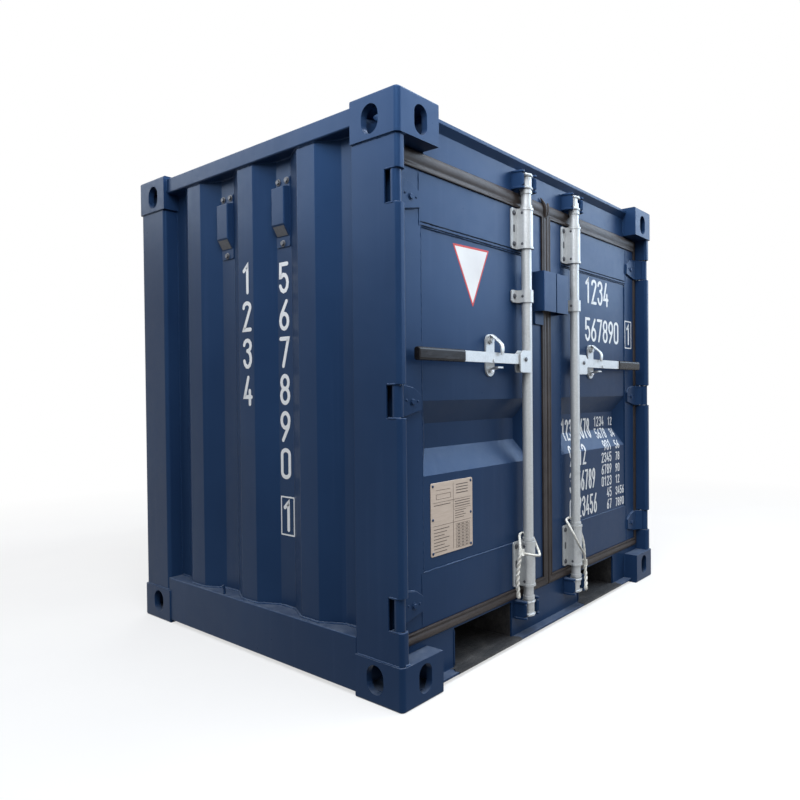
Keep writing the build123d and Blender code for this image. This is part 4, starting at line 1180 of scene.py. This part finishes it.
CAM_Z = (104.0, 1526.0)
LUG_FEET = (-24.5, 17.5)
LUG_STEPS = ((0.0, 1.2), (1.2, 0.0), (5.8, 0.0), (7.0, 1.2))
LUG_SIDES = 36
LUG_R = 25.0
LUG_WAIST = 21.0
LUG_NECK = 15.0
LUG_COUNT = 3
RIB_FEET = (-30.0, 23.0)
RIB_T = 7.0
KEEPER_JAW = ((48.0, -611.5), (50.5, -620.0), (44.5, -648.0), (40.0, -657.0), (31.0, -655.0), (28.6, -644.0),
              (28.6, -611.5))


def lug_radius(angle):
    lobe = max(0.0, math.cos(LUG_COUNT * angle + math.pi / 2)) ** 0.6
    return max(LUG_WAIST, LUG_NECK + (LUG_R - LUG_NECK) * lobe)


def make_cam_lugs():
    """Lobed flanges at both ends of each cam."""
    angles = [TURN * i / LUG_SIDES for i in range(LUG_SIDES)]
    for side, sx in SIDES:
        lugs = Shape()
        for low in (z + foot for z in CAM_Z for foot in LUG_FEET):
            rings = []
            for height, shrink in LUG_STEPS:
                reach = [(a, lug_radius(a) - shrink) for a in angles]
                rings.append([mm(sx * BAR_X + r * math.cos(a), BAR_Y + r * math.sin(a), low + height)
                              for a, r in reach])
            lugs.rings(rings)
        lugs.piece(f"{side}_cam_lugs", f"{side}_lock_bar", ZINC, "galvanised_steel", 40.0)


def make_keeper_ribs():
    """A flange above and below each jaw of the keepers."""
    ribs = Shape()
    for sx in (-1, 1):
        for side in (-1, 1):
            outline = [(sx * BAR_X + side * x, y) for x, y in KEEPER_JAW]
            for low in (z + foot for z in CAM_Z for foot in RIB_FEET):
                ribs.rings([[mm(x, y, h) for x, y in outline] for h in (low, low + RIB_T)])
    add_bevel(ribs.piece("keeper_ribs", "container_frame", NAVY, "navy_paint"), RIB_RADIUS, 2)


# Tab under the left half of the lock box

TAB_X = (-81, -25)
TAB_Z = (1062, 1107)
TAB_STEPS = ((-611.2, 0.0), (-618.6, 0.0), (-619.8, 1.2))


def make_tab():
    outline = soft_box(*TAB_X, *TAB_Z, 5.0)
    tab = Shape()
    tab.rings([[mm(u, y, v) for u, v in shrunk(outline, inset)] for y, inset in TAB_STEPS])
    tab.piece("lock_box_tab", "left_door", NAVY, "navy_paint")


# Black coat on the sill's lip, in rows from the sill to under the lip's edge

LIP_TOP_Z = 17.0
LIP_FRONT_Y = -645.0
TAR_SPAN = (214.0, 541.0)
TAR_INSIDE = (228.0, 524.0)
TAR_INSIDE_Y = (-613.0, -552.0)
TAR_INSIDE_Z = (16.4, 17.7)
TAR_COLUMNS = 48
TAR_ROWS = ((-612.0, LIP_TOP_Z + 0.5), (-622.0, LIP_TOP_Z + 1.0), (-634.0, LIP_TOP_Z + 1.0),
            (LIP_FRONT_Y - 0.6, LIP_TOP_Z + 0.8), (LIP_FRONT_Y - 1.2, 14.0), (LIP_FRONT_Y - 0.6, 10.4))
TAR_LAST_FLAT_ROW = 2
TAR_LAST_TOP_ROW = 3
TAR_LUMPS = (-0.3, 0.5)
TAR_FRAY = 9
TAR_SEED = 77


def tar_x(k):
    return TAR_SPAN[0] + (TAR_SPAN[1] - TAR_SPAN[0]) * k / (TAR_COLUMNS - 1)


def make_sill_tar():
    """Lumpy coat on the lip in front of each fork pocket, and a flat one behind it."""
    tar = Shape()
    draw = random.Random(TAR_SEED)
    columns = TAR_COLUMNS
    for sx in (-1, 1):
        points = []
        for number, (y, z) in enumerate(TAR_ROWS):
            for k in range(columns):
                x = tar_x(k)
                if k in (0, columns - 1):
                    x += draw.uniform(-TAR_FRAY, TAR_FRAY)
                lump = draw.uniform(*TAR_LUMPS)
                out = lump if number > TAR_LAST_FLAT_ROW else 0.0
                up = lump if number <= TAR_LAST_TOP_ROW else 0.0
                points.append(mm(sx * x, y - out, z + up))
        low = [mm(sx * tar_x(k), max(y, LIP_FRONT_Y + 0.5), min(z, LIP_TOP_Z) - 0.5)
               for y, z in TAR_ROWS for k in range(columns)]
        tar.add(points + low, sheet_faces(len(TAR_ROWS), columns))
        x0, x1 = sorted((sx * TAR_INSIDE[0], sx * TAR_INSIDE[1]))
        y0, y1 = TAR_INSIDE_Y
        tar.rings([[mm(x, y, z) for x, y in ((x0, y0), (x1, y0), (x1, y1), (x0, y1))] for z in TAR_INSIDE_Z])
    tar.piece("sill_lip_tar", "container_frame", TAR, "pocket_coating", 60.0)


def sheet_faces(rows, columns):
    """Faces of a closed sheet: a grid of points, the same grid below it, and the rim between them."""
    count = rows * columns
    faces = []
    for a in range(rows - 1):
        for k in range(columns - 1):
            i = a * columns + k
            faces.append((i, i + 1, i + columns + 1, i + columns))
            faces.append((count + i, count + i + columns, count + i + columns + 1, count + i + 1))
    rim = list(range(columns)) + [a * columns + columns - 1 for a in range(1, rows)]
    rim += [(rows - 1) * columns + k for k in range(columns - 2, -1, -1)]
    rim += [a * columns for a in range(rows - 2, 0, -1)]
    return faces + [(a, count + a, count + b, b) for a, b in zip(rim, rim[1:] + rim[:1])]


# Corner plates that close the ledges above the rear bottom castings

CORNER_PLATE_Z = (116.0, 162.8)
CORNER_PLATE_T = 6.0
REAR_PLATE_X = (625.0, 741.0)
REAR_PLATE_Y = (596.0, 657.0)
SIDE_PLATE_X = (739.0, 799.6)
SIDE_PLATE_Y = (488.0, 503.0)


def bent_plate(inner, outer):
    """Section of a plate with an upright face and a ledge at its top: (across, up)."""
    low, high = CORNER_PLATE_Z
    under = high - CORNER_PLATE_T
    back = outer - CORNER_PLATE_T
    return [(outer, low), (outer, high), (inner, high), (inner, under), (back, under), (back, low)]


def make_corner_plates():
    """Bent plates from the ends of the rear and side rails to each rear post."""
    plates = Shape()
    for sx in (-1, 1):
        plates.rings([[mm(sx * x, y, z) for y, z in bent_plate(*REAR_PLATE_Y)] for x in REAR_PLATE_X])
        plates.rings([[mm(sx * x, y, z) for x, z in bent_plate(*SIDE_PLATE_X)] for y in SIDE_PLATE_Y])
    add_bevel(plates.piece("rear_corner_plates", "container_frame", NAVY, "navy_paint"), EDGE_RADIUS, 2)


# Weld beads of the frame

HALF_L = 670.0
CASTING_L = 178.0
CASTING_H = 118.0
HEIGHT = 1615.0
POST_X = 800.0
CRIMP_PERIOD = 303.0
CRIMP_DEPTH = 36.0
CRIMP_HALF_FLAT = 40.0
CRIMP_SLOPE = 75.5
SIDE_CRIMP_CENTRE_Y = 24.0
WALL_ENDS_Y = (-492.0, 501.0)
WALL_OUT_X = 785.0
REAR_WALL_OUT_Y = 641.0
REAR_WALL_ENDS_X = (-740.0, 740.0)
LEDGE_Z = 163.0
WALL_TOP_Z = 1552.0
WALL_BEADS = ((LEDGE_Z, 4.4), (WALL_TOP_Z, 3.2))
CASTING_BEAD_R = 3.9 * MM
RAIL_BEADS = ((799.5, (14.0, CASTING_H), 3.3, 0), (793.0, (1556.0, 1601.0), 3.4, 40))
DOOR_END_Y = -611.5
DOOR_END_BEAD_X = 643.0
DOOR_END_BEADS = ((HEIGHT - CASTING_H + 2, 1568.0, 60), (14.0, CASTING_H - 4, 70))
POCKET_BEAD_X = (226.0, 526.0)
POCKET_BEAD_Z = (20.0, 129.0)
NOTCH_LINE = ((798.5, -617.0), (798.5, -648.0), (790.0, -660.0))
NOTCH_HALF_H = 44.5


def crimp_points(centre, ends, outer):
    """Corners of a crimped wall's line: (along, across)."""
    inner = outer - CRIMP_DEPTH
    points = [(ends[0], inner)]
    for k in (-1, 0, 1):
        c = centre + k * CRIMP_PERIOD
        points += [(c - CRIMP_HALF_FLAT - CRIMP_SLOPE, inner), (c - CRIMP_HALF_FLAT, outer),
                   (c + CRIMP_HALF_FLAT, outer), (c + CRIMP_HALF_FLAT + CRIMP_SLOPE, inner)]
    points.append((ends[1], inner))
    return points


def make_welds():
    shape = Shape()
    seed = 0
    side_x = POST_X - 1.5
    side_wall = crimp_points(SIDE_CRIMP_CENTRE_Y, WALL_ENDS_Y, WALL_OUT_X)
    for sx in (-1, 1):
        front = ((side_x, -HALF_L + CASTING_L), (side_x, -HALF_L + 19), (POST_X - 13, -HALF_L + 7),
                 (POST_X - 33, -HALF_L + 7))
        rear = ((side_x, HALF_L - 169), (side_x, HALF_L - 19), (POST_X - 13, HALF_L - 7),
                (POST_X - 60, HALF_L - 7))
        for z in (CASTING_H, HEIGHT - CASTING_H):
            for line in (front, rear):
                seed += 1
                weld_bead(shape, [mm(sx * x, y, z) for x, y in line], CASTING_BEAD_R, seed)
        for z, size in WALL_BEADS:
            seed += 1
            weld_bead(shape, [mm(sx * x, y, z) for y, x in side_wall], size * MM, seed)
        hollow_x = WALL_OUT_X - CRIMP_DEPTH
        for y, inward in zip(WALL_ENDS_Y, (1.0, -1.0)):
            seed += 1
            upright_bead(shape, sx * hollow_x, y + inward, LEDGE_Z, WALL_TOP_Z, 2.4 * MM, seed)
        for y in (-HALF_L + CASTING_L, HALF_L - CASTING_L):
            seed += 1
            for x, (low, high), size, shift in RAIL_BEADS:
                upright_bead(shape, sx * x, y, low, high, size * MM, seed + shift)
        for low, high, shift in DOOR_END_BEADS:
            upright_bead(shape, sx * DOOR_END_BEAD_X, DOOR_END_Y, low, high, 3.6 * MM, seed + shift)
        for x in POCKET_BEAD_X:
            upright_bead(shape, sx * x, DOOR_END_Y, *POCKET_BEAD_Z, 2.4 * MM, seed + 80 + int(x / 100))
        for z in HINGE_Z:
            for dz in (-NOTCH_HALF_H, NOTCH_HALF_H):
                line = [mm(sx * x, y, z + dz) for x, y in NOTCH_LINE]
                weld_bead(shape, line, 2.8 * MM, seed + 90 + int(z / 100) + int(dz / 10))
    rear_wall = crimp_points(0.0, REAR_WALL_ENDS_X, REAR_WALL_OUT_Y)
    for z in (LEDGE_Z, WALL_TOP_Z):
        seed += 1
        weld_bead(shape, [mm(x, y, z) for x, y in rear_wall], 3.0 * MM, seed)
    shape.piece("frame_weld_beads", "container_frame", NAVY, "navy_paint", 70.0)


# Floor, background and light, in metres

FLOOR_HALF = 30.0
FLOOR_SEEN = ((0.78, 0.78, 0.79), (0.82, 0.82, 0.82))
FLOOR_BOUNCE = (0.10, 0.10, 0.105)
FLOOR_GLOW_NEAR = 0.62
FLOOR_FADE = (2.2, 4.2)
WHITE = (1.0, 1.0, 1.0)
SOFT_SKY = (0.5378, 0.5414, 0.5450)


def make_stage():
    """Pale floor that keeps the shadow and fades to the white background."""
    n = new_material("stage_floor")
    n.tree.nodes.remove(n.shader)
    looked_at = n.looked_at()
    seen = n.mix(n.ramp(n.noise(2.0), 0.3, 0.7), *FLOOR_SEEN)
    diffuse = n.add("ShaderNodeBsdfDiffuse", {"Color": n.mix(looked_at, FLOOR_BOUNCE, seen)})
    glow = n.add("ShaderNodeEmission", {"Strength": 1.0})
    distance = n.add("ShaderNodeVectorMath", {0: n.place}, operation="LENGTH").outputs["Value"]
    fade = n.ramp(distance, *FLOOR_FADE, FLOOR_GLOW_NEAR, 1.0)
    surface = n.blend(n.math("MULTIPLY", looked_at, fade), diffuse, glow)
    n.feed(n.tree.nodes["Material Output"], {"Surface": surface})
    mesh = bpy.data.meshes.new("stage_floor")
    corners = [(-FLOOR_HALF, -FLOOR_HALF, 0), (FLOOR_HALF, -FLOOR_HALF, 0), (FLOOR_HALF, FLOOR_HALF, 0),
               (-FLOOR_HALF, FLOOR_HALF, 0)]
    mesh.from_pydata(corners, [], [(0, 1, 2, 3)])
    floor = bpy.data.objects.new("stage_floor", mesh)
    scene.collection.objects.link(floor)
    mesh.materials.append(n.owner)


def make_world():
    """White background for what is looked at, and a soft light for the rest."""
    scene.world = bpy.data.worlds.new("studio")
    n = Nodes(scene.world)
    n.tree.nodes.clear()
    soft = n.add("ShaderNodeBackground", {"Color": SOFT_SKY})
    white = n.add("ShaderNodeBackground", {"Color": WHITE})
    n.add("ShaderNodeOutputWorld", {"Surface": n.blend(n.looked_at(), soft, white)})


# Name, place, target, size, power, colour, and whether the lamp shows in gloss alone
LAMPS = (
    ("sky_light", (-1.3, -1.5, 4.2), (0, 0, 1.0), (4.2, 4.2), 105.0, (0.90, 0.95, 1.0), False),
    ("corner_light", (-1.5, -1.0, 2.3), (-0.8, -0.5, 1.5), (1.0, 1.0), 24.0, (0.88, 0.93, 1.0), False),
    ("front_light", (2.9, -3.2, 3.1), (0.1, 0, 1.3), (2.8, 2.2), 60.0, (0.86, 0.94, 1.0), False),
    ("door_light", (0.1, -1.05, 3.2), (0.0, -0.62, 0.7), (1.8, 0.6), 50.0, (0.80, 0.90, 1.0), False),
    ("door_sheen", (3.1, -3.1, 2.9), (-0.3, -0.6, 1.3), (4.0, 3.2), 205.0, (0.54, 0.74, 1.0), True),
    ("side_sheen", (-3.6, 2.6, 3.5), (-0.8, -0.2, 1.5), (5.0, 2.4), 175.0, (0.78, 0.88, 1.0), True),
    ("back_light", (3.4, 4.6, 3.4), (0, 0, 0.9), (3.0, 3.0), 100.0, WHITE, False),
)


def make_lights():
    for name, place, target, size, power, colour, only_gloss in LAMPS:
        data = bpy.data.lights.new(name, "AREA")
        data.shape = "RECTANGLE"
        data.size, data.size_y = size
        data.energy = power
        data.color = colour
        lamp = bpy.data.objects.new(name, data)
        scene.collection.objects.link(lamp)
        lamp.location = place
        lamp.rotation_euler = (Vector(target) - Vector(place)).to_track_quat("-Z", "Y").to_euler()
        lamp.visible_diffuse = not only_gloss
    scene.view_settings.view_transform = "Standard"


make_camera()
make_ropes()
dress_nodes()
side_markings()
door_markings()
make_sticker()
make_plate()
make_fasteners()
make_seal_lips()
make_panel_beads()
make_catches()
make_cam_lugs()
make_keeper_ribs()
make_tab()
make_sill_tar()
make_corner_plates()
make_welds()
make_stage()
make_world()
make_lights()
